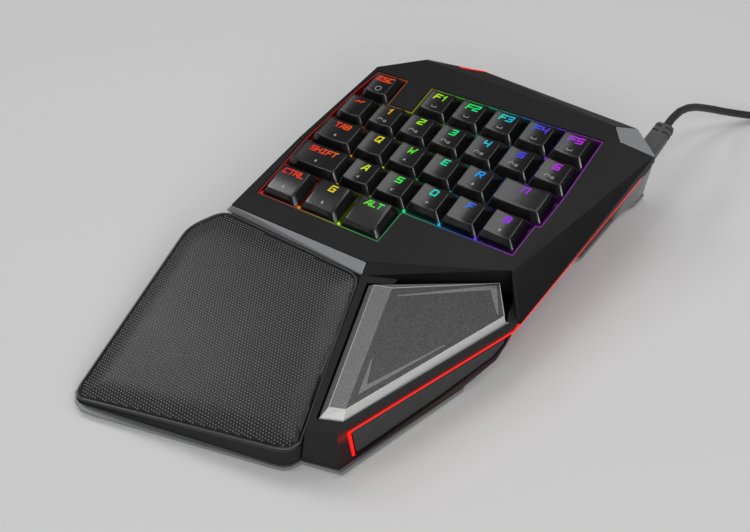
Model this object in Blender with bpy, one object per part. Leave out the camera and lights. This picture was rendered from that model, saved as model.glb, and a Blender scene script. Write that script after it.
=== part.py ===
# One-handed gaming keypad: a tilted key deck, a palm rest, a thumb block and a lead
# Plan places are shares of the key pitch, counted from the front left corner of the escape key's row:
# +X to the right, +Y to the back, +Z up, and the table at Z = 0

import bmesh
import bpy
import numpy
from math import atan2, cos, pi, radians, sin, sqrt, tan
from mathutils import Matrix, Vector

# Driving sizes, in metres
KEY_PITCH = 0.01905
GAP = 0.0003
OVERRUN = 0.004

# Deck: its height above the rest's front left corner, and its rise for each unit of run
FRONT_HEIGHT = 0.01023
DECK_RISE_RIGHT_SHARE = 0.0608
DECK_RISE_BACK_SHARE = 0.1141
SHELL_WALL = 0.002
SHELL_DEPTH = 0.0115
BAND_DROP = 0.005
APEX_DROP = 0.003
FACET_DROP = 0.0047
TRIM_THICKNESS = 0.0012
TRIM_CORNER_DROP = 0.0072

# Keys, measured square to the deck
KEY_BELOW_DECK = 0.0022
KEY_HEIGHT = 0.0054
KEY_SPACING = 0.0011
KEY_TRAVEL = 0.003
KEY_SIDE_TAPER = 0.0026
KEY_FRONT_TAPER = 0.0025
KEY_BACK_TAPER = 0.0019
KEY_WALL = 0.0012
KEY_ROOF = 0.0014
KEY_EDGE = 0.0006
KEY_CORNER = 0.0012
KEY_COLUMNS = 4
DISH_DEPTH = 0.0007
SLOPED_KEY_DROP = 0.0012
STEM_WIDTH = 0.005

# Plates under the keys, each depth measured down from the deck's face
RECESS_WALL = 0.0012
FRAME_DEPTH = 0.0056
FRAME_THICKNESS = 0.0014
RIM_LIGHT_WIDTH = 0.0006
RIM_LIGHT_DEPTH = 0.0005
DOME_SHEET_DEPTH = 0.0108
DOME_HEIGHT = 0.0004
DOME_RADIUS = 0.0032
DOME_SIDES = 10
SHEET_THICKNESS = 0.0008
FILM_THICKNESS = 0.0003
BACK_PLATE_THICKNESS = 0.001
POST_RADIUS = 0.003
POST_SIDES = 16

# Base
PAD_THICKNESS = 0.001
BASE_THICKNESS = 0.002
FRONT_PAD_LENGTH = 0.05
REAR_PAD_LENGTH = 0.022
PAD_WIDTH = 0.008
PAD_CORNER = 0.002
PAD_CORNER_STEPS = 3
FLOOR_THICKNESS = 0.002
LEG_BELOW_GLAND = 0.0028
LEG_BOSS_OVERLAP = 0.007
SCREW_HEAD_RADIUS = 0.0026
SCREW_RADIUS = 0.0013
SCREW_LENGTH = 0.0065
SCREW_SIDES = 16

# Palm rest
REST_BELOW_DECK = 0.0043
REST_PAD_THICKNESS = 0.0015
REST_CROWN = 0.0012
REST_CROWN_INSET = 0.014
REST_LIP = 0.0009
REST_CORNER = 0.007
REST_CORNER_STEPS = 4
REST_CAVITY_ROOF = 0.003
FRONT_TRIM_LIP = 0.0002

# Thumb block
BLOCK_HEIGHT = 0.0255
BLOCK_KNEE_HEIGHTS = (0.0105, 0.0165)
BLOCK_SIDE_LEAN = 0.06
BLOCK_FLOOR = 0.014
BLOCK_FLOOR_THICKNESS = 0.002
THUMB_KEY_LOW = 0.0243
THUMB_KEY_RIDGE = 0.0272
THUMB_KEY_TOP = 0.028
THUMB_KEY_ROOF = 0.0016
THUMB_TRAVEL_DEGREES = 4.0
PIN_RADIUS = 0.00125
PIN_HEIGHT = 0.0195
PIN_SIDES = 16
LUG_RADIUS = 0.0028
LUG_THICKNESS = 0.004
BRACKET_THICKNESS = 0.003
SPRING_RADIUS = 0.0028
SPRING_WIRE = 0.00035
SPRING_TURNS = 5
SPRING_POINTS_A_TURN = 12
SWITCH_LENGTH = 0.0128
SWITCH_WIDTH = 0.0065
SWITCH_HEIGHT = 0.0058
SWITCH_BUTTON = 0.0016
SWITCH_BUTTON_HEIGHT = 0.0008

# Side light bar and the panel inside its bend
BAR_RADIUS = 0.0009
BAR_BELOW_TOP = 0.0037
BAR_FROM_CORNER = 0.0052
BAR_LOW_END = 0.0052
PANEL_LOW_STEPS = ((0.050, 0.0088), (0.0795, 0.0132), (0.0855, 0.0175))
BAR_BEND = 0.002
BAR_BEND_STEPS = 3

# Circuit board
BOARD_THICKNESS = 0.0016
CHIP_HEIGHT = 0.0012

# Lead and its fittings
CABLE_RADIUS = 0.002
CABLE_SPACING = 0.0085
ROUTE_SAMPLES = 20
GLAND_LENGTH = 0.0325
GLAND_WIDTH = 0.0098
GLAND_TIP_WIDTH = 0.0092
GLAND_THICKNESS = 0.0066
GLAND_TIP_THICKNESS = 0.006
SLOT_COUNT = 4
SLOT_WIDTH = 0.0013
SLOT_DEPTH = 0.0014
SLOT_STEP = 0.0032
SLOT_FROM_TIP = 0.003
COIL_INNER_RADIUS = 0.0125
COIL_STEP = 0.0046
COIL_LAYER = 0.0046
COIL_DIP = 0.0013
COIL_TURNS_A_LAYER = 4.25
COIL_POINTS_A_TURN = 24
COIL_START_DEGREES = 90.0
COIL_LIFT = 0.0009
TAIL_RADIUS = 0.0425
TAIL_DEGREES = 80.0
TIE_WIDTH = 0.009
TIE_THICKNESS = 0.0006
TIE_DEGREES = 150.0
GRIP_LENGTH = 0.027
GRIP_WIDTH = 0.0125
GRIP_THICKNESS = 0.0078
GRIP_CORNER = 0.0022
PLUG_LENGTH = 0.0125
PLUG_WIDTH = 0.012
PLUG_THICKNESS = 0.0045
PLUG_SHEET = 0.0006

# Keys as name, left and right edge, and the row's front edge
KEY_TABLE_SHARES = (
    ("key_escape", 0.22, 1.15, 0), ("key_f1", 2.02, 3.0, 0), ("key_f2", 3.02, 4.01, 0),
    ("key_f3", 4.03, 5.01, 0), ("key_f4", 5.03, 6.0, 0), ("key_f5", 6.02, 7.0, 0),
    ("key_accent", 0.03, 0.98, -1), ("key_1", 1.02, 2.0, -1), ("key_2", 2.02, 3.0, -1),
    ("key_3", 3.02, 4.0, -1), ("key_4", 4.02, 4.99, -1), ("key_5", 5.01, 5.99, -1),
    ("key_6", 6.01, 7.0, -1),
    ("key_tab", -0.05, 1.28, -2), ("key_q", 1.31, 2.32, -2), ("key_w", 2.35, 3.36, -2),
    ("key_e", 3.38, 4.38, -2), ("key_r", 4.4, 5.39, -2), ("key_wide", 5.42, 6.92, -2),
    ("key_shift", -0.14, 1.53, -3), ("key_a", 1.56, 2.58, -3), ("key_s", 2.61, 3.64, -3),
    ("key_d", 3.66, 4.68, -3), ("key_f", 4.7, 5.71, -3), ("key_b", 5.73, 6.74, -3),
)
SLOPED_KEY_TABLE_SHARES = (
    ("key_ctrl", -0.13, 1.02, -4), ("key_g", 1.14, 2.31, -4), ("key_alt", 2.42, 3.6, -4),
)
SLOPED_KEY_EXTRA_SHARE = 0.09

# Outlines on the deck, counter-clockwise from the front left corner
DECK_TOP_SHARES = (
    (-0.56, -4.8), (3.77, -4.8), (7.09, -3.5), (7.497, 1.591), (1.18, 1.96), (0.05, 1.19), (-0.36, -2.0),
)
DECK_RIM_SHARES = (
    (-0.58, -4.8), (3.8, -4.82), (4.05, -5.15), (7.7, -4.4), (8.285, 1.43), (7.56, 2.008), (2.82, 2.42),
    (1.12, 2.15), (0.0, 1.22), (-0.42, -2.0),
)
RIM_FACET_FOOT_INDEX = 2
RIM_FLANK_INDICES = (3, 4)
RIM_BACK_BAND_INDICES = (5, 6)
RIM_APEX_INDEX = 7
RECESS_SHARES = (
    (-0.22, -4.17), (3.68, -4.17), (3.72, -3.13), (6.84, -3.13), (6.9, -2.12), (7.03, -2.1), (7.1, -1.0),
    (7.1, 1.06), (1.95, 1.06), (1.95, 0.04), (1.22, 0.04), (1.22, 1.06), (0.16, 1.06), (-0.04, 0.0),
    (-0.22, -2.0),
)
FACET_SHARES = ((7.15, 1.611), (7.466, 1.2), (8.285, 1.43))
FACET_BLOCK_SHARE = 6.0

# Bottom shell: its upper ring lies under the deck's rim and its lower ring on the base plate
TRAY_TOP_SHARES = (
    (-0.55, -4.76), (3.72, -4.76), (6.95, -3.4), (7.48, -3.35), (8.08, 1.46), (7.55, 1.93), (2.82, 2.34),
    (1.14, 2.08), (0.03, 1.17), (-0.39, -2.0),
)
TRAY_FOOT_SHARES = (
    (-0.49, -4.72), (3.7, -4.72), (6.6, -3.4), (6.75, -3.2), (7.25, 0.9), (7.1, 1.8), (2.8, 2.16),
    (1.16, 1.93), (0.06, 1.08), (-0.34, -2.0),
)
CORNER_BOSS_SHARES = ((7.5, 1.08), (8.2, 1.13), (8.22, 1.45), (7.62, 1.94), (7.5, 1.9))
CORNER_BOSS_FOOT_SHARES = ((7.45, 1.2), (7.62, 1.25), (7.6, 1.6), (7.45, 1.8))
POST_SHARES = ((0.4, -3.7), (3.2, -3.7), (0.6, 0.6), (6.4, 0.7), (6.4, -2.6), (3.9, -2.6))
SCREW_SHARES = ((0.9, -0.7), (6.3, -0.7))

# Base plate, leg and pads, in plan
BASE_SHARES = (
    (-0.54, -10.82), (-0.34, -11.02), (-0.05, -11.11), (0.3, -11.05), (4.72, -9.87), (4.95, -9.79),
    (5.1, -9.665), (5.16, -9.52), (5.19, -9.44), (6.12, -9.19), (7.2, -5.89), (6.75, -5.0), (6.85, -1.7),
    (7.62, -0.87), (7.76, 1.26), (7.95, 1.58), (8.0, 2.05), (7.4, 2.1), (2.8, 2.24), (1.14, 1.99),
    (0.02, 1.12), (-0.38, -2.0), (-0.54, -4.6), (-0.78, -4.86), (-1.35, -5.8), (-0.95, -8.25),
)
LEG_FOOT_SHARES = ((7.4, 0.75), (7.73, 0.75), (7.75, 1.27), (7.93, 1.58), (7.97, 2.02), (7.3, 2.02))
LEG_TOP_SHARES = ((7.7, 1.15), (8.02, 1.2), (8.12, 1.5), (8.12, 1.9), (7.7, 1.9))
FRONT_PAD_SHARES = (2.1, -9.55)
REAR_PAD_SHARES = ((0.95, 0.8), (6.95, 1.3))

# Palm rest and its pad, on the rest's face, which lies below the deck's
REST_SHARES = (
    (-0.8, -4.89), (-1.38, -5.79), (-0.97, -8.25), (-0.48, -11.14), (5.06, -9.765), (5.27, -9.2),
    (3.77, -5.06),
)
REST_BACK_SHARES = ((3.65, -4.8), (-0.6, -4.8))
REST_FOOT_SHARES = (
    (-0.74, -4.89), (-1.32, -5.79), (-0.92, -8.25), (-0.42, -11.07), (5.03, -9.75), (5.25, -9.2),
    (3.79, -5.1),
    (3.65, -4.8), (-0.55, -4.8),
)
REST_CAVITY_SHARES = ((-1.1, -5.9), (-0.75, -8.6), (4.3, -8.1), (3.4, -5.4), (-0.6, -5.2))
FRONT_ROOM_RIGHT_SHARE = 3.8
FRONT_TRIM_TOP_SHARES = ((-0.56, -4.8), (3.77, -4.8))
FRONT_TRIM_FOOT_SHARES = ((-0.77, -4.865), (3.755, -5.055))

# Thumb block, in plan
BLOCK_TOP_SHARES = (
    (3.85, -5.07), (5.334, -9.23), (5.99, -8.96), (7.74, -4.43), (7.03, -3.511),
)
BLOCK_SIDE_INDICES = (2, 3)
BLOCK_KNEE_SHARES = (4.22, 4.52)
BLOCK_FOOT_SHARES = (
    (3.93, -5.32), (5.19, -9.41), (6.03, -9.155), (7.15, -5.98), (6.8, -3.66), (4.15, -5.15),
)
WELL_SHARES = (
    (4.09, -5.186), (4.66, -4.9), (4.69, -4.5), (7.4, -3.0), (7.62, -4.32), (5.917, -8.652), (5.369, -8.893),
)
BLOCK_HOLLOW_SHARES = ((4.25, -5.5), (5.5, -8.9), (5.85, -8.75), (6.85, -5.7), (6.3, -4.9))
THUMB_KEY_SHARES = ((4.15, -5.2), (4.75, -5.06), (6.86, -3.65), (7.5, -4.52), (5.895, -8.63), (5.39, -8.84))
THUMB_RIDGE_SHARES = ((4.328, -5.212), (5.469, -8.555))
THUMB_FACE_SHARES = ((4.77, -5.102), (6.83, -3.67), (7.411, -4.462), (5.828, -8.428))
THUMB_POCKET_SHARES = ((4.85, -5.2), (6.62, -4.05), (7.15, -4.6), (5.68, -8.15), (5.55, -8.2))
PIN_SHARES = ((4.64, -5.62), (5.48, -8.5))
BRACKET_PLACE_SHARES = (0.06, 0.94)
LUG_PLACE_SHARES = (0.16, 0.84)
SPRING_SHARES = (6.1, -6.2)
SWITCH_SHARES = (6.5, -5.0)
PANEL_END_SHARE = 0.945
BAR_FLANK_SHARES = (0.02, 0.48, 0.9)

# Board and strain relief
BOARD_SHARES = ((2.2, -1.6), (5.6, -1.6), (5.6, 0.9), (2.2, 0.9))
CHIP_SHARES = ((3.2, -0.9), (4.0, -0.9), (4.0, -0.1), (3.2, -0.1))
GLAND_SHARES = (7.9, 1.38)

# The lead's route in the plan's own metres, from the strain relief to the coil
CABLE_ROUTE = (
    (0.1505, 0.0591, 0.032), (0.1505, 0.0655, 0.032), (0.1512, 0.0765, 0.0303), (0.1534, 0.0885, 0.0252),
    (0.158, 0.1008, 0.0175), (0.1655, 0.1133, 0.0092), (0.176, 0.1237, 0.0037), (0.188, 0.1305, 0.0022),
    (0.2015, 0.1336, 0.0022), (0.216, 0.1341, 0.0027), (0.2256, 0.134, 0.0029), (0.2297, 0.134, 0.0029),
)
COIL_CENTRE = (0.234, 0.10195)

# Levels that follow from the sizes above
BASE_BOTTOM = PAD_THICKNESS + GAP
BASE_TOP = BASE_BOTTOM + BASE_THICKNESS
SHELL_FOOT = BASE_TOP + GAP
FLOOR_TOP = SHELL_FOOT + FLOOR_THICKNESS
STEM_DEPTH = DOME_SHEET_DEPTH - DOME_HEIGHT - KEY_TRAVEL - GAP
FILM_DEPTH = DOME_SHEET_DEPTH + SHEET_THICKNESS + GAP
BACK_PLATE_DEPTH = FILM_DEPTH + FILM_THICKNESS + GAP
BOARD_DEPTH = BACK_PLATE_DEPTH + BACK_PLATE_THICKNESS + GAP
POST_DEPTH = BOARD_DEPTH
REST_SHELL_DEPTH = REST_BELOW_DECK + REST_PAD_THICKNESS + GAP
BAR_HEIGHT = BLOCK_HEIGHT - BAR_BELOW_TOP
THUMB_KEY_CEILING = THUMB_KEY_TOP - THUMB_KEY_ROOF


def deck_rise(share):
    return (share[0] * DECK_RISE_RIGHT_SHARE + share[1] * DECK_RISE_BACK_SHARE) * KEY_PITCH


DECK_HEIGHT = FRONT_HEIGHT - deck_rise(REST_SHARES[3])

DECK_RIGHT = Vector((1, 0, DECK_RISE_RIGHT_SHARE)).normalized()
DECK_NORMAL = Vector((-DECK_RISE_RIGHT_SHARE, -DECK_RISE_BACK_SHARE, 1)).normalized()
DECK_BACK = DECK_NORMAL.cross(DECK_RIGHT)
DECK_TURN = Matrix((DECK_RIGHT, DECK_BACK, DECK_NORMAL)).transposed().to_4x4()
DECK = Matrix.Translation((0, 0, DECK_HEIGHT)) @ DECK_TURN

# The strain relief hangs just below the shell's low edge, and the leg ends below it
SHELL_EDGE_DROP = (SHELL_DEPTH + GAP) / DECK_NORMAL.z
GLAND_HEIGHT = DECK_HEIGHT + deck_rise(GLAND_SHARES) - SHELL_EDGE_DROP - GLAND_THICKNESS / 2
LEG_HEIGHT = GLAND_HEIGHT - GLAND_THICKNESS / 2 - LEG_BELOW_GLAND
CORNER_BOSS_FOOT_HEIGHT = LEG_HEIGHT - LEG_BOSS_OVERLAP


# Places and outlines

def on_deck(share, depth):
    return DECK @ Vector((share[0] * KEY_PITCH, share[1] * KEY_PITCH, -depth))


def in_plan(share, height):
    return Vector((share[0] * KEY_PITCH, share[1] * KEY_PITCH, height))


def deck_ring(shares, depth):
    return [on_deck(share, depth) for share in shares]


def plan_ring(shares, height):
    return [in_plan(share, height) for share in shares]


def offset_outline(points, distance):
    # Each side moves out square to itself, and neighbouring sides meet again at a mitre
    count = len(points)
    area = sum(points[i - 1][0] * points[i][1] - points[i][0] * points[i - 1][1] for i in range(count))
    turn = 1 if area > 0 else -1
    moved = []
    for i in range(count):
        here = Vector(points[i][:2])
        before = (here - Vector(points[i - 1][:2])).normalized()
        after = (Vector(points[(i + 1) % count][:2]) - here).normalized()
        out_before = Vector((before.y, -before.x)) * turn
        out_after = Vector((after.y, -after.x)) * turn
        mitre = (out_before + out_after).normalized()
        moved.append(tuple(here + mitre * distance / mitre.dot(out_after)))
    return moved


def offset_shares(shares, distance):
    return offset_outline(shares, distance / KEY_PITCH)


def rounded_shares(shares, radius, steps):
    # Each corner becomes an arc, drawn as a quadratic curve from side to side
    points = []
    count = len(shares)
    for i in range(count):
        here = Vector(shares[i])
        before = Vector(shares[i - 1]) - here
        after = Vector(shares[(i + 1) % count]) - here
        reach = radius / KEY_PITCH
        start = here + before.normalized() * min(reach, before.length / 3)
        end = here + after.normalized() * min(reach, after.length / 3)
        for step in range(steps + 1):
            t = step / steps
            points.append(tuple(start * (1 - t) ** 2 + here * 2 * t * (1 - t) + end * t ** 2))
    return points


# Making of objects

def clear_scene():
    for old in list(bpy.data.objects):
        bpy.data.objects.remove(old)


def make_collection(name):
    collection = bpy.data.collections.new(name)
    bpy.context.scene.collection.children.link(collection)
    return collection


def make_empty(name, parent=None, matrix=None):
    empty = bpy.data.objects.new(name, None)
    bpy.context.scene.collection.objects.link(empty)
    empty.parent = parent
    if matrix is not None:
        empty.matrix_basis = matrix
    return empty


def make_finish(name, colour, roughness, metallic=0.0, alpha=1.0):
    finish = bpy.data.materials.new(name)
    finish.use_nodes = True
    shader = finish.node_tree.nodes["Principled BSDF"]
    shader.inputs["Base Color"].default_value = (*colour, 1.0)
    shader.inputs["Roughness"].default_value = roughness
    shader.inputs["Metallic"].default_value = metallic
    shader.inputs["Alpha"].default_value = alpha
    finish.diffuse_color = (*colour, 1.0)
    return finish


clear_scene()
KEYPAD = make_collection("keypad")
CUTTERS = make_collection("cutters")
PLAN = make_empty("plan")
DECK_FRAME = make_empty("deck_frame", PLAN, DECK)

SATIN_BLACK = ((0.02, 0.02, 0.022), 0.42)
KEY_BLACK = ((0.015, 0.015, 0.017), 0.25)
PAD_BLACK = ((0.03, 0.03, 0.03), 0.6)
RUBBER_BLACK = ((0.02, 0.02, 0.02), 0.8)
BRIGHT_METAL = ((0.55, 0.56, 0.58), 0.28, 0.9)
STEEL = ((0.5, 0.5, 0.52), 0.35, 1.0)
THUMB_GREY = ((0.09, 0.095, 0.1), 0.45, 0.6)
RED_GLOW = ((0.8, 0.02, 0.02), 0.3)
CLEAR_LIGHT = ((0.8, 0.8, 0.85), 0.15, 0.0, 0.5)
SILICONE = ((0.7, 0.7, 0.68), 0.6)
FILM = ((0.6, 0.62, 0.6), 0.4)
BOARD_GREEN = ((0.02, 0.12, 0.05), 0.4)
LEAD_BLACK = ((0.02, 0.02, 0.02), 0.6)
RELIEF_GREY = ((0.09, 0.09, 0.09), 0.6)


def add_object(name, data, finish, parent=PLAN):
    piece = bpy.data.objects.new(name, data)
    piece.parent = parent
    if finish is None:
        CUTTERS.objects.link(piece)
        piece.hide_render = True
        piece.display_type = "WIRE"
    else:
        KEYPAD.objects.link(piece)
        data.materials.append(make_finish(name + "_finish", *finish))
    return piece


def add_mesh(name, bm, finish, parent=PLAN):
    bmesh.ops.recalc_face_normals(bm, faces=bm.faces)
    mesh = bpy.data.meshes.new(name)
    bm.to_mesh(mesh)
    bm.free()
    return add_object(name, mesh, finish, parent)


def loft_rings(bm, rings):
    loops = [[bm.verts.new(point) for point in ring] for ring in rings]
    count = len(loops[0])
    for low, high in zip(loops, loops[1:]):
        for i in range(count):
            j = (i + 1) % count
            bm.faces.new((low[i], low[j], high[j], high[i]))
    return loops


def add_loft(name, rings, finish=None, parent=PLAN):
    bm = bmesh.new()
    loops = loft_rings(bm, rings)
    bm.faces.new(list(reversed(loops[0])))
    bm.faces.new(loops[-1])
    return add_mesh(name, bm, finish, parent)


def hull_mesh(points):
    bm = bmesh.new()
    verts = [bm.verts.new(point) for point in points]
    hull = bmesh.ops.convex_hull(bm, input=verts)
    spare = hull["geom_interior"] + hull["geom_unused"]
    inside = {item for item in spare if isinstance(item, bmesh.types.BMVert)}
    bmesh.ops.delete(bm, geom=list(inside), context="VERTS")
    bmesh.ops.dissolve_limit(bm, angle_limit=radians(0.05), verts=bm.verts, edges=bm.edges)
    return bm


def add_hull(name, points, finish=None, parent=PLAN):
    return add_mesh(name, hull_mesh(points), finish, parent)


def add_boxes(name, boxes, finish=None, parent=PLAN):
    # Each box is a matrix and its full size
    bm = bmesh.new()
    for matrix, size in boxes:
        made = bmesh.ops.create_cube(bm, size=1.0, matrix=matrix @ Matrix.Diagonal((*size, 1.0)))
        sides = {face for vert in made["verts"] for face in vert.link_faces}
        bmesh.ops.recalc_face_normals(bm, faces=list(sides))
    return add_mesh(name, bm, finish, parent)


def add_rods(name, rods, sides, finish=None, parent=PLAN):
    # Each rod is its two end centres and the radius at each
    bm = bmesh.new()
    for start, end, start_radius, end_radius in rods:
        axis = end - start
        matrix = Matrix.Translation((start + end) / 2) @ axis.to_track_quat("Z", "Y").to_matrix().to_4x4()
        bmesh.ops.create_cone(bm, cap_ends=True, segments=sides, radius1=start_radius, radius2=end_radius,
                              depth=axis.length, matrix=matrix)
    return add_mesh(name, bm, finish, parent)


def add_tube(name, points, radius, resolution, finish, parent=PLAN):
    curve = bpy.data.curves.new(name, "CURVE")
    curve.dimensions = "3D"
    curve.bevel_depth = radius
    curve.bevel_resolution = resolution
    curve.use_fill_caps = True
    curve.resolution_u = 1
    spline = curve.splines.new("POLY")
    spline.points.add(len(points) - 1)
    for place, point in zip(spline.points, points):
        place.co = (*point, 1.0)
    return add_object(name, curve, finish, parent)


def use(piece, operation, *tools):
    for tool in tools:
        modifier = piece.modifiers.new(tool.name, "BOOLEAN")
        modifier.operation = operation
        modifier.object = tool


def cut(piece, *tools):
    use(piece, "DIFFERENCE", *tools)


def join(piece, *tools):
    use(piece, "UNION", *tools)


# Keys

def key_ring(left, right, front, back, corner, height):
    # Front and back sides carry the dish's columns, and each corner is one chamfer
    columns = [left + corner + (right - left - 2 * corner) * i / KEY_COLUMNS for i in range(KEY_COLUMNS + 1)]
    places = [(x, front) for x in columns] + [(right, front + corner), (right, back - corner)]
    places += [(x, back) for x in reversed(columns)] + [(left, back - corner), (left, front + corner)]
    return [Vector((x, y, height(x, y))) for x, y in places]


def close_key_ring(bm, loop):
    # The loop is filled by strips that run from its front side to its back side
    columns = KEY_COLUMNS + 1
    front = loop[:columns]
    back = list(reversed(loop[columns + 2:2 * columns + 2]))
    for i in range(KEY_COLUMNS):
        bm.faces.new((front[i], front[i + 1], back[i + 1], back[i]))
    bm.faces.new((front[-1], loop[columns], loop[columns + 1], back[-1]))
    bm.faces.new((back[0], loop[-2], loop[-1], front[0]))


def make_key(name, left, right, front, back, drop, dish):
    half = (right - left) / 2
    reach = (back - front) / 2
    top_half = half - KEY_SIDE_TAPER
    top_front = -reach + KEY_FRONT_TAPER
    top_back = reach - KEY_BACK_TAPER
    top = KEY_HEIGHT - KEY_BELOW_DECK

    def face(x, y):
        return top - drop * (top_back - y) / (top_back - top_front) - dish * (1 - (x / top_half) ** 2)

    def ring(side, ahead, behind, corner, height):
        return key_ring(-half + side, half - side, -reach + ahead, reach - behind, corner, height)

    share = 1 - KEY_ROOF / KEY_HEIGHT
    stem = STEM_WIDTH / 2
    outer = [
        ring(0, 0, 0, KEY_CORNER, lambda x, y: -KEY_BELOW_DECK),
        ring(KEY_SIDE_TAPER - KEY_EDGE, KEY_FRONT_TAPER - KEY_EDGE, KEY_BACK_TAPER - KEY_EDGE, KEY_CORNER,
             lambda x, y: face(x, y) - KEY_EDGE),
        ring(KEY_SIDE_TAPER, KEY_FRONT_TAPER, KEY_BACK_TAPER, KEY_CORNER, face),
    ]
    inner = [
        ring(KEY_WALL, KEY_WALL, KEY_WALL, KEY_CORNER, lambda x, y: -KEY_BELOW_DECK),
        ring(KEY_WALL + KEY_SIDE_TAPER * share, KEY_WALL + KEY_FRONT_TAPER * share,
             KEY_WALL + KEY_BACK_TAPER * share, KEY_CORNER, lambda x, y: face(x, y) - KEY_ROOF),
        key_ring(-stem, stem, -stem, stem, KEY_EDGE, lambda x, y: face(x, y) - KEY_ROOF),
        key_ring(-stem, stem, -stem, stem, KEY_EDGE, lambda x, y: -STEM_DEPTH),
    ]
    bm = bmesh.new()
    loops = loft_rings(bm, list(reversed(inner)) + outer)
    close_key_ring(bm, loops[0])
    close_key_ring(bm, loops[-1])
    key = add_mesh(name, bm, KEY_BLACK, DECK_FRAME)
    key.location = ((left + right) / 2, (front + back) / 2, 0)
    return key


def make_keys():
    centres = []
    for name, left, right, row in KEY_TABLE_SHARES + SLOPED_KEY_TABLE_SHARES:
        sloped = (name, left, right, row) in SLOPED_KEY_TABLE_SHARES
        front = row * KEY_PITCH + KEY_SPACING / 2
        if sloped:
            front = (row - SLOPED_KEY_EXTRA_SHARE) * KEY_PITCH
        back = (row + 1) * KEY_PITCH - KEY_SPACING / 2
        drop, dish = (SLOPED_KEY_DROP, 0.0) if sloped else (0.0, DISH_DEPTH)
        key = make_key(name, left * KEY_PITCH, right * KEY_PITCH, front, back, drop, dish)
        centres.append(Vector(key.location))
    return centres


# Casing

def shell_points(inset, drop, low_depth):
    top = offset_shares(DECK_TOP_SHARES, -inset)
    rim = offset_shares(DECK_RIM_SHARES, -inset)
    points = deck_ring(top, drop) + deck_ring(rim, low_depth)
    points += [on_deck(rim[i], BAND_DROP + drop) for i in RIM_BACK_BAND_INDICES]
    points.append(on_deck(rim[RIM_APEX_INDEX], APEX_DROP + drop))
    points.append(on_deck(rim[RIM_FLANK_INDICES[1]], TRIM_CORNER_DROP - GAP + drop))
    points.append(on_deck(rim[RIM_FACET_FOOT_INDEX], FACET_DROP + drop))
    return points


def facet_plane():
    top_left, top_right = (on_deck(share, 0) for share in FACET_SHARES[:2])
    low = on_deck(FACET_SHARES[2], TRIM_CORNER_DROP)
    normal = (top_right - top_left).cross(low - top_left).normalized()
    if normal.z < 0:
        normal.negate()
    return low, normal


def facet_side(name, sink):
    # A large block whose face is the corner facet's plane, sunk into the shell
    low, normal = facet_plane()
    size = FACET_BLOCK_SHARE * KEY_PITCH
    centre = low + normal * (size / 2 - sink)
    matrix = Matrix.Translation(centre) @ normal.to_track_quat("Z", "Y").to_matrix().to_4x4()
    return add_boxes(name, [(matrix, (size, size, size))])


def facet_prism(name, grow, low, high, finish=None):
    # The facet's own outline on the casing, drawn out square to its face
    bm = hull_mesh(shell_points(0, 0, SHELL_DEPTH))
    place, normal = facet_plane()
    section = bmesh.ops.bisect_plane(bm, geom=bm.verts[:] + bm.edges[:] + bm.faces[:], plane_co=place,
                                     plane_no=normal)
    across = normal.orthogonal().normalized()
    along = normal.cross(across)
    corners = [item.co - place for item in section["geom_cut"] if isinstance(item, bmesh.types.BMVert)]
    flat = [(corner.dot(across), corner.dot(along)) for corner in corners]
    bm.free()
    middle = [sum(values) / len(flat) for values in zip(*flat)]
    flat.sort(key=lambda point: atan2(point[1] - middle[1], point[0] - middle[0]))
    outline = offset_outline(flat, grow)
    rings = [[place + across * x + along * y + normal * level for x, y in outline] for level in (low, high)]
    return add_loft(name, rings, finish)


def deck_prism(name, shares, top_depth, low_depth, finish=None):
    return add_loft(name, [deck_ring(shares, low_depth), deck_ring(shares, top_depth)], finish)


def plan_prism(name, shares, low, high, finish=None):
    return add_loft(name, [plan_ring(shares, low), plan_ring(shares, high)], finish)


def make_top_shell():
    shell = add_hull("top_shell", shell_points(0, 0, SHELL_DEPTH), SATIN_BLACK)
    hollow = add_hull("shell_hollow", shell_points(SHELL_WALL, SHELL_WALL, SHELL_DEPTH + OVERRUN))
    recess = deck_prism("recess_cut", RECESS_SHARES, -OVERRUN, SHELL_DEPTH + OVERRUN)
    recess_wall = deck_prism("recess_wall", offset_shares(RECESS_SHARES, RECESS_WALL), -OVERRUN,
                             FRAME_DEPTH + FRAME_THICKNESS)
    block_high = DECK_HEIGHT + OVERRUN
    block_room = plan_prism("block_room", offset_shares(BLOCK_TOP_SHARES, GAP), 0, block_high)
    block_wall = plan_prism("block_wall", offset_shares(BLOCK_TOP_SHARES, GAP + SHELL_WALL), 0, block_high)
    front_line = FRONT_TRIM_TOP_SHARES[0][1]
    front_left = REST_SHARES[1][0]
    front_right = FRONT_ROOM_RIGHT_SHARE
    front_low = REST_SHARES[1][1]
    front_shares = ((front_left, front_low), (front_right, front_low), (front_right, front_line),
                    (front_left, front_line))
    front_room = deck_prism("front_room", front_shares, -OVERRUN, SHELL_DEPTH + OVERRUN)
    front_wall = deck_prism("front_wall", offset_shares(front_shares, SHELL_WALL), -OVERRUN,
                            SHELL_DEPTH + 2 * OVERRUN)
    facet_room = facet_prism("facet_room", GAP, -TRIM_THICKNESS - GAP, OVERRUN)
    facet_wall = facet_side("facet_wall", TRIM_THICKNESS + GAP + SHELL_WALL)
    cut(hollow, recess_wall, block_wall, front_wall, facet_wall)
    cut(shell, hollow, recess, block_room, front_room, facet_side("facet_face", 0), facet_room)


def make_corner_trim():
    facet_prism("corner_trim", 0, -TRIM_THICKNESS, 0, BRIGHT_METAL)


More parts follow.
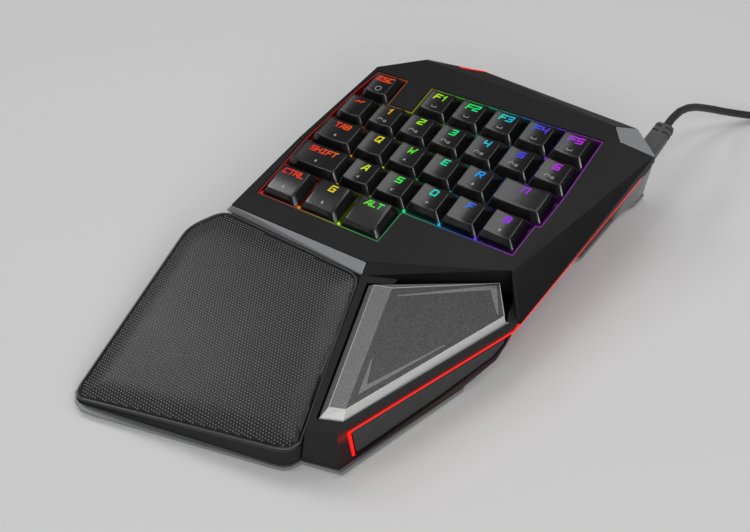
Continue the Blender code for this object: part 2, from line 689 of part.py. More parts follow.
def make_front_trim():
    top = [on_deck((x, y - GAP / KEY_PITCH), FRONT_TRIM_LIP) for x, y in FRONT_TRIM_TOP_SHARES]
    back = [on_deck((x, y - GAP / KEY_PITCH), REST_BELOW_DECK + REST_PAD_THICKNESS)
            for x, y in FRONT_TRIM_TOP_SHARES]
    foot = deck_ring(FRONT_TRIM_FOOT_SHARES, REST_BELOW_DECK)
    low = deck_ring(FRONT_TRIM_FOOT_SHARES, REST_BELOW_DECK + REST_PAD_THICKNESS)
    add_hull("front_trim", top + back + foot + low, BRIGHT_METAL)


def tray_points(grow):
    top = deck_ring(offset_shares(TRAY_TOP_SHARES, grow), SHELL_DEPTH + GAP)
    return top + plan_ring(offset_shares(TRAY_FOOT_SHARES, grow), SHELL_FOOT)


def boss_points(grow):
    top = deck_ring(offset_shares(CORNER_BOSS_SHARES, grow), SHELL_DEPTH + GAP)
    return top + plan_ring(offset_shares(CORNER_BOSS_FOOT_SHARES, grow), CORNER_BOSS_FOOT_HEIGHT - grow)


def make_bottom_shell():
    tray = add_hull("bottom_shell", tray_points(0), SATIN_BLACK)
    boss = add_hull("corner_boss", boss_points(0))
    inner_top = deck_ring(offset_shares(TRAY_TOP_SHARES, -SHELL_WALL), SHELL_DEPTH - OVERRUN)
    inner_foot = plan_ring(offset_shares(TRAY_FOOT_SHARES, -SHELL_WALL), FLOOR_TOP)
    inner = add_hull("tray_hollow", inner_top + inner_foot)
    posts = []
    for share in POST_SHARES + SCREW_SHARES:
        posts.append((in_plan(share, FLOOR_TOP - FLOOR_THICKNESS / 2), in_plan(share, DECK_HEIGHT),
                      POST_RADIUS, POST_RADIUS))
    pillars = add_rods("pillars", posts, POST_SIDES)
    whole = offset_shares(DECK_RIM_SHARES, OVERRUN)
    cut(pillars, deck_prism("over_posts", whole, -DECK_HEIGHT, POST_DEPTH))
    screws = [(in_plan(share, BASE_BOTTOM), in_plan(share, BASE_TOP + SCREW_LENGTH + GAP),
               SCREW_RADIUS + GAP, SCREW_RADIUS + GAP) for share in SCREW_SHARES]
    join(tray, boss)
    cut(tray, inner)
    join(tray, pillars)
    cut(tray, add_rods("screw_bores", screws, SCREW_SIDES), add_hull("gland_room", gland_points(GAP)))


def make_base_plate():
    plate = plan_prism("base_plate", BASE_SHARES, BASE_BOTTOM, BASE_TOP, BRIGHT_METAL)
    heads = [(in_plan(share, 0), in_plan(share, BASE_TOP + OVERRUN), SCREW_HEAD_RADIUS + GAP,
              SCREW_HEAD_RADIUS + GAP) for share in SCREW_SHARES]
    cut(plate, add_rods("screw_head_bores", heads, SCREW_SIDES))


def make_screws():
    for name, share in zip(("case_screw_left", "case_screw_right"), SCREW_SHARES):
        screw = add_rods(name, [(in_plan(share, BASE_BOTTOM), in_plan(share, BASE_TOP), SCREW_HEAD_RADIUS,
                                 SCREW_HEAD_RADIUS)], SCREW_SIDES, STEEL)
        shank = [(in_plan(share, BASE_TOP - BASE_THICKNESS / 2), in_plan(share, BASE_TOP + SCREW_LENGTH),
                  SCREW_RADIUS, SCREW_RADIUS)]
        join(screw, add_rods(name + "_shank", shank, SCREW_SIDES))


def make_leg():
    leg = add_hull("rear_leg", plan_ring(LEG_FOOT_SHARES, SHELL_FOOT) + plan_ring(LEG_TOP_SHARES, LEG_HEIGHT),
                   BRIGHT_METAL)
    cut(leg, add_hull("tray_room", tray_points(GAP)), add_hull("boss_room", boss_points(GAP)))


def make_grip(name, share, length):
    half = length / 2 / KEY_PITCH
    side = PAD_WIDTH / 2 / KEY_PITCH
    corners = ((share[0] - half, share[1] - side), (share[0] + half, share[1] - side),
               (share[0] + half, share[1] + side), (share[0] - half, share[1] + side))
    plan_prism(name, rounded_shares(corners, PAD_CORNER, PAD_CORNER_STEPS), 0, PAD_THICKNESS, RUBBER_BLACK)


# Palm rest

SIDE_START = in_plan(BLOCK_TOP_SHARES[BLOCK_SIDE_INDICES[0]], 0)
SIDE_RUN = in_plan(BLOCK_TOP_SHARES[BLOCK_SIDE_INDICES[1]], 0) - SIDE_START
SIDE_LENGTH = SIDE_RUN.length
SIDE_ALONG = SIDE_RUN.normalized()
SIDE_IN = Vector((-SIDE_ALONG.y, SIDE_ALONG.x, 0))


def on_side(distance, height, depth):
    # The block's right side leans out towards its foot
    lean = BLOCK_SIDE_LEAN * (height - BLOCK_HEIGHT)
    return SIDE_START + SIDE_ALONG * distance + SIDE_IN * (depth + lean) + Vector((0, 0, height))


def block_points(grow, high):
    knees = [on_side(share * KEY_PITCH, height, -grow)
             for share, height in zip(BLOCK_KNEE_SHARES, BLOCK_KNEE_HEIGHTS)]
    return (plan_ring(offset_shares(BLOCK_TOP_SHARES, grow), high)
            + plan_ring(offset_shares(BLOCK_TOP_SHARES, grow), BLOCK_HEIGHT)
            + plan_ring(offset_shares(BLOCK_FOOT_SHARES, grow), SHELL_FOOT - grow) + knees)


def make_rest():
    block_side = add_hull("block_side", block_points(GAP, BLOCK_HEIGHT + OVERRUN))
    inner = offset_shares(REST_SHARES, -REST_LIP)
    back = [(x, y - GAP / KEY_PITCH) for x, y in REST_BACK_SHARES]
    corners = len(REST_SHARES)
    top = rounded_shares(inner, REST_CORNER, REST_CORNER_STEPS) + back
    foot = rounded_shares(REST_FOOT_SHARES[:corners], REST_CORNER, REST_CORNER_STEPS)
    foot += REST_FOOT_SHARES[corners:]
    points = deck_ring(top, REST_SHELL_DEPTH) + plan_ring(foot, SHELL_FOOT)
    shell = add_hull("rest_shell", points, SATIN_BLACK)
    cavity_top = deck_ring(REST_CAVITY_SHARES, REST_SHELL_DEPTH + REST_CAVITY_ROOF)
    cavity = add_hull("rest_cavity", cavity_top + plan_ring(REST_CAVITY_SHARES, SHELL_FOOT - OVERRUN))
    cut(shell, block_side, cavity)

    # The pad's back side follows the foot of the front trim
    (foot_left, foot_left_y), (foot_right, foot_right_y) = FRONT_TRIM_FOOT_SHARES
    slope = (foot_right_y - foot_left_y) / (foot_right - foot_left)
    outline = list(REST_SHARES)
    for i in (0, -1):
        x = REST_SHARES[i][0]
        outline[i] = (x, foot_left_y + slope * (x - foot_left) - 2 * GAP / KEY_PITCH)
    edge = rounded_shares(outline, REST_CORNER, REST_CORNER_STEPS)
    crown = offset_shares(outline, -REST_CROWN_INSET)
    levels = ((edge, REST_BELOW_DECK), (crown, REST_BELOW_DECK - REST_CROWN),
              (edge, REST_BELOW_DECK + REST_PAD_THICKNESS))
    points = [point for ring, depth in levels for point in deck_ring(ring, depth)]
    pad = add_hull("rest_pad", points, PAD_BLACK)
    cut(pad, block_side)


# Key stack

def make_stack(centres):
    sheet = offset_shares(RECESS_SHARES, -GAP)
    frame = deck_prism("key_frame", sheet, FRAME_DEPTH, FRAME_DEPTH + FRAME_THICKNESS, STEEL)
    hole = STEM_WIDTH + 2 * GAP
    holes = [(DECK @ Matrix.Translation(centre - Vector((0, 0, FRAME_DEPTH + FRAME_THICKNESS / 2))),
              (hole, hole, FRAME_THICKNESS * 3)) for centre in centres]
    cut(frame, add_boxes("stem_holes", holes))
    light = deck_prism("rim_light", sheet, RIM_LIGHT_DEPTH, FRAME_DEPTH - GAP, CLEAR_LIGHT)
    cut(light, deck_prism("rim_light_inside", offset_shares(sheet, -RIM_LIGHT_WIDTH), -OVERRUN,
                          FRAME_DEPTH + OVERRUN))
    domes = deck_prism("dome_sheet", sheet, DOME_SHEET_DEPTH, DOME_SHEET_DEPTH + SHEET_THICKNESS, SILICONE)
    bumps = []
    for centre in centres:
        low = DECK @ (centre - Vector((0, 0, DOME_SHEET_DEPTH + SHEET_THICKNESS / 2)))
        high = DECK @ (centre - Vector((0, 0, DOME_SHEET_DEPTH - DOME_HEIGHT)))
        bumps.append((low, high, DOME_RADIUS, DOME_RADIUS - DOME_HEIGHT))
    join(domes, add_rods("dome_bumps", bumps, DOME_SIDES))
    deck_prism("contact_sheet", sheet, FILM_DEPTH, FILM_DEPTH + FILM_THICKNESS, FILM)
    deck_prism("back_plate", sheet, BACK_PLATE_DEPTH, BACK_PLATE_DEPTH + BACK_PLATE_THICKNESS, STEEL)
    board = deck_prism("circuit_board", BOARD_SHARES, BOARD_DEPTH, BOARD_DEPTH + BOARD_THICKNESS, BOARD_GREEN)
    chip_low = BOARD_DEPTH + BOARD_THICKNESS + CHIP_HEIGHT
    join(board, deck_prism("chip", CHIP_SHARES, BOARD_DEPTH + BOARD_THICKNESS / 2, chip_low))


# Thumb block

def side_prism(name, outline, near, far, finish=None):
    rings = [[on_side(x, z, depth) for x, z in outline] for depth in (near, far)]
    return add_loft(name, rings, finish)


PANEL_OUTLINE = (
    (BAR_FROM_CORNER + BAR_RADIUS, BAR_LOW_END), *PANEL_LOW_STEPS,
    (SIDE_LENGTH * PANEL_END_SHARE, BAR_HEIGHT - BAR_RADIUS),
    (BAR_FROM_CORNER + BAR_RADIUS, BAR_HEIGHT - BAR_RADIUS),
)
REBATE_DEPTH = 2 * BAR_RADIUS + GAP
PIN_START, PIN_END = (in_plan(share, PIN_HEIGHT) for share in PIN_SHARES)
PIN_AXIS = (PIN_END - PIN_START).normalized()
PIN_ACROSS = Vector((-PIN_AXIS.y, PIN_AXIS.x, 0))


def pin_place(share):
    return PIN_START.lerp(PIN_END, share)


def travel_at(share):
    # How far the thumb key falls at a place, from its distance to the pin
    reach = abs((in_plan(share, PIN_HEIGHT) - PIN_START).dot(PIN_ACROSS))
    return reach * tan(radians(THUMB_TRAVEL_DEGREES))


def lug_points(share, thickness, top):
    points = []
    for side in (-thickness / 2, thickness / 2):
        centre = pin_place(share) + PIN_AXIS * side
        for step in range(PIN_SIDES):
            angle = 2 * pi * step / PIN_SIDES
            across = PIN_ACROSS * LUG_RADIUS * cos(angle)
            points.append(centre + across + Vector((0, 0, LUG_RADIUS * sin(angle))))
        for across in (-LUG_RADIUS, LUG_RADIUS):
            points.append(centre + PIN_ACROSS * across + Vector((0, 0, top - PIN_HEIGHT)))
    return points


def pin_bore(name):
    ends = (PIN_START - PIN_AXIS * OVERRUN, PIN_END + PIN_AXIS * OVERRUN)
    return add_rods(name, [(*ends, PIN_RADIUS + GAP, PIN_RADIUS + GAP)], PIN_SIDES)


def make_thumb_housing():
    housing = add_hull("thumb_housing", block_points(0, BLOCK_HEIGHT), SATIN_BLACK)
    well = plan_prism("thumb_well", WELL_SHARES, BLOCK_FLOOR, BLOCK_HEIGHT + OVERRUN)
    hollow = plan_prism("block_hollow", BLOCK_HOLLOW_SHARES, BASE_BOTTOM, BLOCK_FLOOR - BLOCK_FLOOR_THICKNESS)
    margin = BAR_RADIUS + GAP
    front = BAR_FROM_CORNER - margin
    rear = SIDE_LENGTH + OVERRUN
    rebate_outline = ((front, BAR_LOW_END - GAP), (PANEL_OUTLINE[0][0], BAR_LOW_END - GAP), *PANEL_LOW_STEPS,
                      (SIDE_LENGTH * PANEL_END_SHARE, BAR_HEIGHT - margin),
                      (rear, BAR_HEIGHT - margin), (rear, BAR_HEIGHT + margin), (front, BAR_HEIGHT + margin))
    rebate = side_prism("side_rebate", rebate_outline, -OVERRUN, REBATE_DEPTH)
    cut(housing, well, hollow, rebate)
    for number, share in enumerate(BRACKET_PLACE_SHARES):
        points = lug_points(share, BRACKET_THICKNESS, BLOCK_FLOOR - BLOCK_FLOOR_THICKNESS / 2)
        join(housing, add_hull(f"bracket_{number}", points))
    cut(housing, pin_bore("bracket_bore"))
    side_prism("thumb_insert", offset_outline(PANEL_OUTLINE, -GAP), GAP, REBATE_DEPTH - GAP, THUMB_GREY)


def make_thumb_key():
    levels = ((THUMB_KEY_SHARES, THUMB_KEY_LOW), (THUMB_RIDGE_SHARES, THUMB_KEY_RIDGE),
              (THUMB_FACE_SHARES, THUMB_KEY_TOP))
    points = [point for ring, height in levels for point in plan_ring(ring, height)]
    key = add_hull("thumb_key", points, THUMB_GREY)
    cut(key, plan_prism("thumb_pocket", THUMB_POCKET_SHARES, THUMB_KEY_LOW - OVERRUN, THUMB_KEY_CEILING))
    buried = (THUMB_KEY_LOW + THUMB_KEY_CEILING) / 2
    for number, share in enumerate(LUG_PLACE_SHARES):
        join(key, add_hull(f"lug_{number}", lug_points(share, LUG_THICKNESS, buried)))
    low = BLOCK_FLOOR + GAP + SWITCH_HEIGHT + SWITCH_BUTTON_HEIGHT + GAP + travel_at(SWITCH_SHARES)
    plunger = (in_plan(SWITCH_SHARES, low), in_plan(SWITCH_SHARES, THUMB_KEY_TOP - THUMB_KEY_ROOF / 2),
               SWITCH_BUTTON, SWITCH_BUTTON)
    join(key, add_rods("plunger", [plunger], PIN_SIDES))
    cut(key, pin_bore("lug_bore"))
    middle = pin_place(0.5)
    key.data.transform(Matrix.Translation(-middle))
    key.location = middle
    print("thumb hinge: middle", tuple(middle), "axis", tuple(PIN_AXIS))


def make_thumb_fittings():
    add_rods("thumb_pin", [(PIN_START, PIN_END, PIN_RADIUS, PIN_RADIUS)], PIN_SIDES, STEEL)
    low = BLOCK_FLOOR + GAP + SPRING_WIRE
    high = THUMB_KEY_CEILING - GAP - SPRING_WIRE
    count = SPRING_TURNS * SPRING_POINTS_A_TURN
    points = []
    for step in range(count + 1):
        angle = 2 * pi * step / SPRING_POINTS_A_TURN
        centre = in_plan(SPRING_SHARES, low + (high - low) * step / count)
        points.append(centre + Vector((SPRING_RADIUS * cos(angle), SPRING_RADIUS * sin(angle), 0)))
    add_tube("thumb_spring", points, SPRING_WIRE, 1, STEEL)
    centre = in_plan(SWITCH_SHARES, BLOCK_FLOOR + GAP + SWITCH_HEIGHT / 2)
    across = SIDE_ALONG.to_track_quat("X", "Z").to_matrix().to_4x4()
    switch = add_boxes("thumb_switch", [(Matrix.Translation(centre) @ across,
                                         (SWITCH_LENGTH, SWITCH_WIDTH, SWITCH_HEIGHT))], LEAD_BLACK)
    button_low = in_plan(SWITCH_SHARES, BLOCK_FLOOR + SWITCH_HEIGHT / 2)
    button_high = in_plan(SWITCH_SHARES, BLOCK_FLOOR + GAP + SWITCH_HEIGHT + SWITCH_BUTTON_HEIGHT)
    button = (button_low, button_high, SWITCH_BUTTON, SWITCH_BUTTON)
    join(switch, add_rods("switch_button", [button], PIN_SIDES))


def make_side_light():
    points = [on_side(BAR_FROM_CORNER, BAR_LOW_END, BAR_RADIUS)]
    for step in range(BAR_BEND_STEPS + 1):
        angle = pi / 2 * step / BAR_BEND_STEPS
        points.append(on_side(BAR_FROM_CORNER + BAR_BEND * (1 - cos(angle)),
                              BAR_HEIGHT - BAR_BEND * (1 - sin(angle)), BAR_RADIUS))
    points.append(on_side(SIDE_LENGTH - BAR_BEND, BAR_HEIGHT, BAR_RADIUS))
    rim = offset_shares(DECK_RIM_SHARES, -(BAR_RADIUS + GAP))
    front, rear = (Vector(rim[i]) for i in RIM_FLANK_INDICES)
    depth = SHELL_DEPTH + GAP + BAR_RADIUS
    for share in BAR_FLANK_SHARES:
        points.append(on_deck(front.lerp(rear, share), depth))
    add_tube("side_light", points, BAR_RADIUS, 1, RED_GLOW)


# Lead

def gland_points(grow):
    x, y = (value * KEY_PITCH for value in GLAND_SHARES)
    points = []
    for along, width, thickness in ((0, GLAND_WIDTH, GLAND_THICKNESS),
                                    (GLAND_LENGTH, GLAND_TIP_WIDTH, GLAND_TIP_THICKNESS)):
        for side, up in ((-1, -1), (1, -1), (1, 1), (-1, 1)):
            for cut_side, cut_up in ((1, 0), (0, 1)):
                points.append(Vector((x + side * (width / 2 + grow - SLOT_DEPTH * cut_side), y + along,
                                      GLAND_HEIGHT + up * (thickness / 2 + grow - SLOT_DEPTH * cut_up))))
    return points


def make_gland():
    gland = add_hull("cable_gland", gland_points(0), RELIEF_GREY)
    x, y = (value * KEY_PITCH for value in GLAND_SHARES)
    slots = []
    for number in range(SLOT_COUNT):
        along = y + GLAND_LENGTH - SLOT_FROM_TIP - SLOT_STEP * number
        share = (GLAND_LENGTH - SLOT_FROM_TIP - SLOT_STEP * number) / GLAND_LENGTH
        width = GLAND_WIDTH + (GLAND_TIP_WIDTH - GLAND_WIDTH) * share
        for side in (-1, 1):
            centre = Vector((x + side * width / 2, along, GLAND_HEIGHT))
            slots.append((Matrix.Translation(centre), (2 * SLOT_DEPTH, SLOT_WIDTH, 2 * GLAND_THICKNESS)))
    cut(gland, add_boxes("gland_slots", slots))


def smooth_route(route, spacing):
    # A uniform cubic spline through the points, read at even steps
    points = [Vector(point) for point in route]
    dense = []
    for i in range(len(points) - 1):
        before = points[max(i - 1, 0)]
        start, end = points[i], points[i + 1]
        after = points[min(i + 2, len(points) - 1)]
        for step in range(ROUTE_SAMPLES):
            t = step / ROUTE_SAMPLES
            if i in (0, len(points) - 2):
                dense.append(start * (1 - t) + end * t)
            else:
                square = 2 * before - 5 * start + 4 * end - after
                cube = 3 * start - before - 3 * end + after
                dense.append(0.5 * (2 * start + (end - before) * t + square * t ** 2 + cube * t ** 3))
    dense.append(points[-1])
    lengths = [0.0]
    for one, two in zip(dense, dense[1:]):
        lengths.append(lengths[-1] + (two - one).length)
    count = round(lengths[-1] / spacing)
    places = numpy.linspace(0, lengths[-1], count + 1)
    columns = [numpy.interp(places, lengths, [point[axis] for point in dense]) for axis in range(3)]
    return [Vector(values) for values in zip(*columns)], lengths[-1]


def coil_place(radius, degrees, height):
    angle = radians(degrees)
    return Vector((COIL_CENTRE[0] + radius * cos(angle), COIL_CENTRE[1] + radius * sin(angle), height))


def coil_points():
    # Two layers: inwards along the table, up in half a turn, and outwards on top, all clockwise
    low = COIL_LIFT + CABLE_RADIUS
    outer = COIL_INNER_RADIUS + COIL_STEP * COIL_TURNS_A_LAYER
    layer = round(COIL_TURNS_A_LAYER * COIL_POINTS_A_TURN)
    climb = COIL_POINTS_A_TURN // 2
    step_degrees = 360 / COIL_POINTS_A_TURN
    points = []
    degrees = COIL_START_DEGREES
    for step in range(layer):
        points.append(coil_place(outer - COIL_STEP * step / COIL_POINTS_A_TURN, degrees, low))
        degrees -= step_degrees
    for step in range(climb):
        share = step / climb
        points.append(coil_place(COIL_INNER_RADIUS - COIL_DIP * sin(pi * share), degrees,
                                 low + COIL_LAYER * (1 - cos(pi * share)) / 2))
        degrees -= step_degrees
    for step in range(layer + 1):
        points.append(coil_place(COIL_INNER_RADIUS + COIL_STEP * step / COIL_POINTS_A_TURN, degrees,
                                 low + COIL_LAYER))
        degrees -= step_degrees
    degrees += step_degrees
    tail = round(TAIL_DEGREES / step_degrees)
    for step in range(1, tail + 1):
        share = step / tail
        ease = share * share * (3 - 2 * share)
        points.append(coil_place(outer + (TAIL_RADIUS - outer) * ease, degrees - TAIL_DEGREES * share,
                                 low + COIL_LAYER + (GRIP_THICKNESS / 2 - low - COIL_LAYER) * ease))
    first = (points[0] - points[1]).normalized()
    heading = Vector((points[-1] - points[-2])[:2]).normalized()
    last = Vector((heading.x, heading.y, 0))
    return [points[0] + first * 2 * CABLE_RADIUS] + points + [points[-1] + last * 2 * CABLE_RADIUS], last


def self_gap(points, radius, skip):
    places = numpy.array([tuple(point) for point in points])
    distances = numpy.linalg.norm(places[:, None, :] - places[None, :, :], axis=2)
    near = numpy.abs(numpy.subtract.outer(numpy.arange(len(places)), numpy.arange(len(places)))) < skip
    distances[near] = numpy.inf
    return distances.min() - 2 * radius


def rounded_bar_points(start, heading, length, width, thickness, corner):
    side = Vector((-heading.y, heading.x, 0))
    up = Vector((0, 0, 1))
    points = []
    for along, shrink in ((0, corner / 2), (corner / 2, 0), (length, 0)):
        for across, rise in ((-1, -1), (1, -1), (1, 1), (-1, 1)):
            for one, two in ((corner, 0), (0, corner)):
                points.append(start + heading * along + side * across * (width / 2 - shrink - one)
                              + up * rise * (thickness / 2 - shrink - two))
    return points


def make_lead():
    route, free_length = smooth_route(CABLE_ROUTE, CABLE_SPACING)
    add_tube("cable", route, CABLE_RADIUS, 2, LEAD_BLACK)
    points, heading = coil_points()
    add_tube("cable_coil", points, CABLE_RADIUS, 1, LEAD_BLACK)
    coil_length = sum((two - one).length for one, two in zip(points, points[1:]))
    coil_gap = self_gap(points, CABLE_RADIUS, COIL_POINTS_A_TURN // 2)
    print("coil: least gap to itself in mm", round(coil_gap * 1000, 3))
    print("lead: length in m", round(free_length + coil_length, 4))
    start = points[-1] + heading * GAP
    grip = rounded_bar_points(start, heading, GRIP_LENGTH, GRIP_WIDTH, GRIP_THICKNESS, GRIP_CORNER)
    add_hull("plug_grip", grip, LEAD_BLACK)
    matrix = Matrix.Translation(start + heading * (GRIP_LENGTH + GAP + PLUG_LENGTH / 2))
    matrix = matrix @ heading.to_track_quat("X", "Z").to_matrix().to_4x4()
    plug = add_boxes("plug_shell", [(matrix, (PLUG_LENGTH, PLUG_WIDTH, PLUG_THICKNESS))], STEEL)
    inside = matrix @ Matrix.Translation((PLUG_SHEET, 0, 0))
    inner = (PLUG_LENGTH, PLUG_WIDTH - 2 * PLUG_SHEET, PLUG_THICKNESS - 2 * PLUG_SHEET)
    tongue = matrix @ Matrix.Translation((0, 0, (PLUG_THICKNESS - 2 * PLUG_SHEET) / 4))
    cut(plug, add_boxes("plug_mouth", [(inside, inner)]))
    join(plug, add_boxes("plug_tongue", [(tongue, (PLUG_LENGTH - PLUG_SHEET, inner[1] - 2 * PLUG_SHEET,
                                                   inner[2] / 2 + PLUG_SHEET))]))


def make_tie():
    along = coil_place(1.0, TIE_DEGREES, 0) - coil_place(0.0, TIE_DEGREES, 0)
    near = sqrt((COIL_INNER_RADIUS - CABLE_RADIUS) ** 2 - (TIE_WIDTH / 2) ** 2) - GAP
    far = COIL_INNER_RADIUS + COIL_STEP * COIL_TURNS_A_LAYER + CABLE_RADIUS + GAP
    low = TIE_THICKNESS
    high = COIL_LIFT + COIL_LAYER + 2 * CABLE_RADIUS + GAP
    turn = along.to_track_quat("X", "Z").to_matrix().to_4x4()
    place = Matrix.Translation(coil_place((near + far) / 2, TIE_DEGREES, (low + high) / 2)) @ turn
    size = (far - near + 2 * TIE_THICKNESS, TIE_WIDTH, high - low + 2 * TIE_THICKNESS)
    tie = add_boxes("cable_tie", [(place, size)], PAD_BLACK)
    cut(tie, add_boxes("tie_inside", [(place, (far - near, 2 * TIE_WIDTH, high - low))]))


def centre_on_box(skipped):
    # The plan moves so that the middle of the box of all but the lead lies over the origin
    bpy.context.view_layer.update()
    graph = bpy.context.evaluated_depsgraph_get()
    places = []
    for piece in KEYPAD.objects:
        if piece.name not in skipped:
            shown = piece.evaluated_get(graph)
            places += [piece.matrix_world @ vert.co for vert in shown.to_mesh().vertices]
            shown.to_mesh_clear()
    low = Vector(min(place[axis] for place in places) for axis in range(3))
    high = Vector(max(place[axis] for place in places) for axis in range(3))
    PLAN.location = (-(low.x + high.x) / 2, -(low.y + high.y) / 2, -low.z)
    print("box in mm", [round(value * 1000, 2) for value in high - low])
    print("plan origin", tuple(round(value, 6) for value in PLAN.location))


key_centres = make_keys()
make_top_shell()
make_corner_trim()
make_front_trim()
make_bottom_shell()
make_base_plate()
make_screws()
make_leg()
make_grip("grip_front", FRONT_PAD_SHARES, FRONT_PAD_LENGTH)
make_grip("grip_rear_left", REAR_PAD_SHARES[0], REAR_PAD_LENGTH)
make_grip("grip_rear_right", REAR_PAD_SHARES[1], REAR_PAD_LENGTH)
make_rest()
make_stack(key_centres)
make_thumb_housing()
make_thumb_key()
make_thumb_fittings()
make_side_light()
make_gland()
make_lead()
make_tie()
centre_on_box(("cable", "cable_coil", "cable_tie", "plug_grip", "plug_shell"))
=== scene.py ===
# One-handed gaming keypad on a pale table, lit softly, seen from above its right front corner
from math import radians

import bmesh
import bpy
import numpy as np
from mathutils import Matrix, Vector


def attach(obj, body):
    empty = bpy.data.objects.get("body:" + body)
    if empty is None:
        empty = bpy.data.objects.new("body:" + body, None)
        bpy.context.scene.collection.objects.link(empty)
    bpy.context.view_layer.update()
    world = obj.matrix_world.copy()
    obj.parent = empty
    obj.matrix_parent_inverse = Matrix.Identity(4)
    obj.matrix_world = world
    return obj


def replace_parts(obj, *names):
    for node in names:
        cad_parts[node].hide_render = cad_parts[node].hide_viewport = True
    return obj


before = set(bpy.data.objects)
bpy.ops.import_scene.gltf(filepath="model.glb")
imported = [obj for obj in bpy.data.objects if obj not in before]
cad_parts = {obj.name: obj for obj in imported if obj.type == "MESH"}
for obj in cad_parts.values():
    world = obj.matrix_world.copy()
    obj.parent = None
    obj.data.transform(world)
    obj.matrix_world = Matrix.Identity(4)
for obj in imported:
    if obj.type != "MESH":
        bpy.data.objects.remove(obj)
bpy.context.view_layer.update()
scene = bpy.context.scene
scene.view_settings.view_transform = "Standard"
print("stage: frame loaded,", len(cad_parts), "nodes")

# The CAD's own plan: shares of the key pitch, from the front left corner of the escape key's row
plan = {"originX": -0.066164, "originY": 0.076428, "pitch": 0.01905, "deckHeight": 0.035, "riseRight": 0.0608,
        "riseBack": 0.1141}
planOrigin = np.array((plan["originX"], plan["originY"], 0.0))
deckOrigin = planOrigin + np.array((0.0, 0.0, plan["deckHeight"]))
deckRight = np.array((1.0, 0.0, plan["riseRight"]))
deckRight /= np.linalg.norm(deckRight)
deckNormal = np.array((-plan["riseRight"], -plan["riseBack"], 1.0))
deckNormal /= np.linalg.norm(deckNormal)
deckBack = np.cross(deckNormal, deckRight)


def deckPlace(flat, depth):
    # Metres along the deck and below its face
    return (deckOrigin + flat[..., :1] * deckRight + flat[..., 1:] * deckBack
            - np.asarray(depth, float)[..., None] * deckNormal)


def inPlan(x, y, height):
    # Shares of the pitch in plan, and a height above the table
    x, y, height = np.broadcast_arrays(np.asarray(x, float), y, height)
    return planOrigin + np.stack((x * plan["pitch"], y * plan["pitch"], height), axis=-1)


# Camera at the photograph's angle

view = {"place": (0.204005, -0.251191, 0.366415), "turn": (41.984, 3.969, 34.782), "lens": 48.0}
camera = bpy.data.objects.new("camera", bpy.data.cameras.new("camera"))
scene.collection.objects.link(camera)
camera.location = view["place"]
camera.rotation_euler = [radians(angle) for angle in view["turn"]]
camera.data.lens = view["lens"]
camera.data.sensor_width = 36.0
camera.data.clip_start = 0.01
scene.camera = camera


# Shader maths

class Value:
    # A socket that adds Math nodes as an expression is written

    def __init__(self, nodes, socket):
        self.nodes = nodes
        self.socket = socket

    def maths(self, operation, other):
        node = self.nodes.new("ShaderNodeMath")
        node.operation = operation
        for number, value in enumerate((self, other)):
            if isinstance(value, Value):
                self.nodes.id_data.links.new(value.socket, node.inputs[number])
            else:
                node.inputs[number].default_value = value
        return Value(self.nodes, node.outputs[0])

    def __add__(self, other):
        return self.maths("ADD", other)

    def __sub__(self, other):
        return self.maths("SUBTRACT", other)

    def __mul__(self, other):
        return self.maths("MULTIPLY", other)

    def __truediv__(self, other):
        return self.maths("DIVIDE", other)


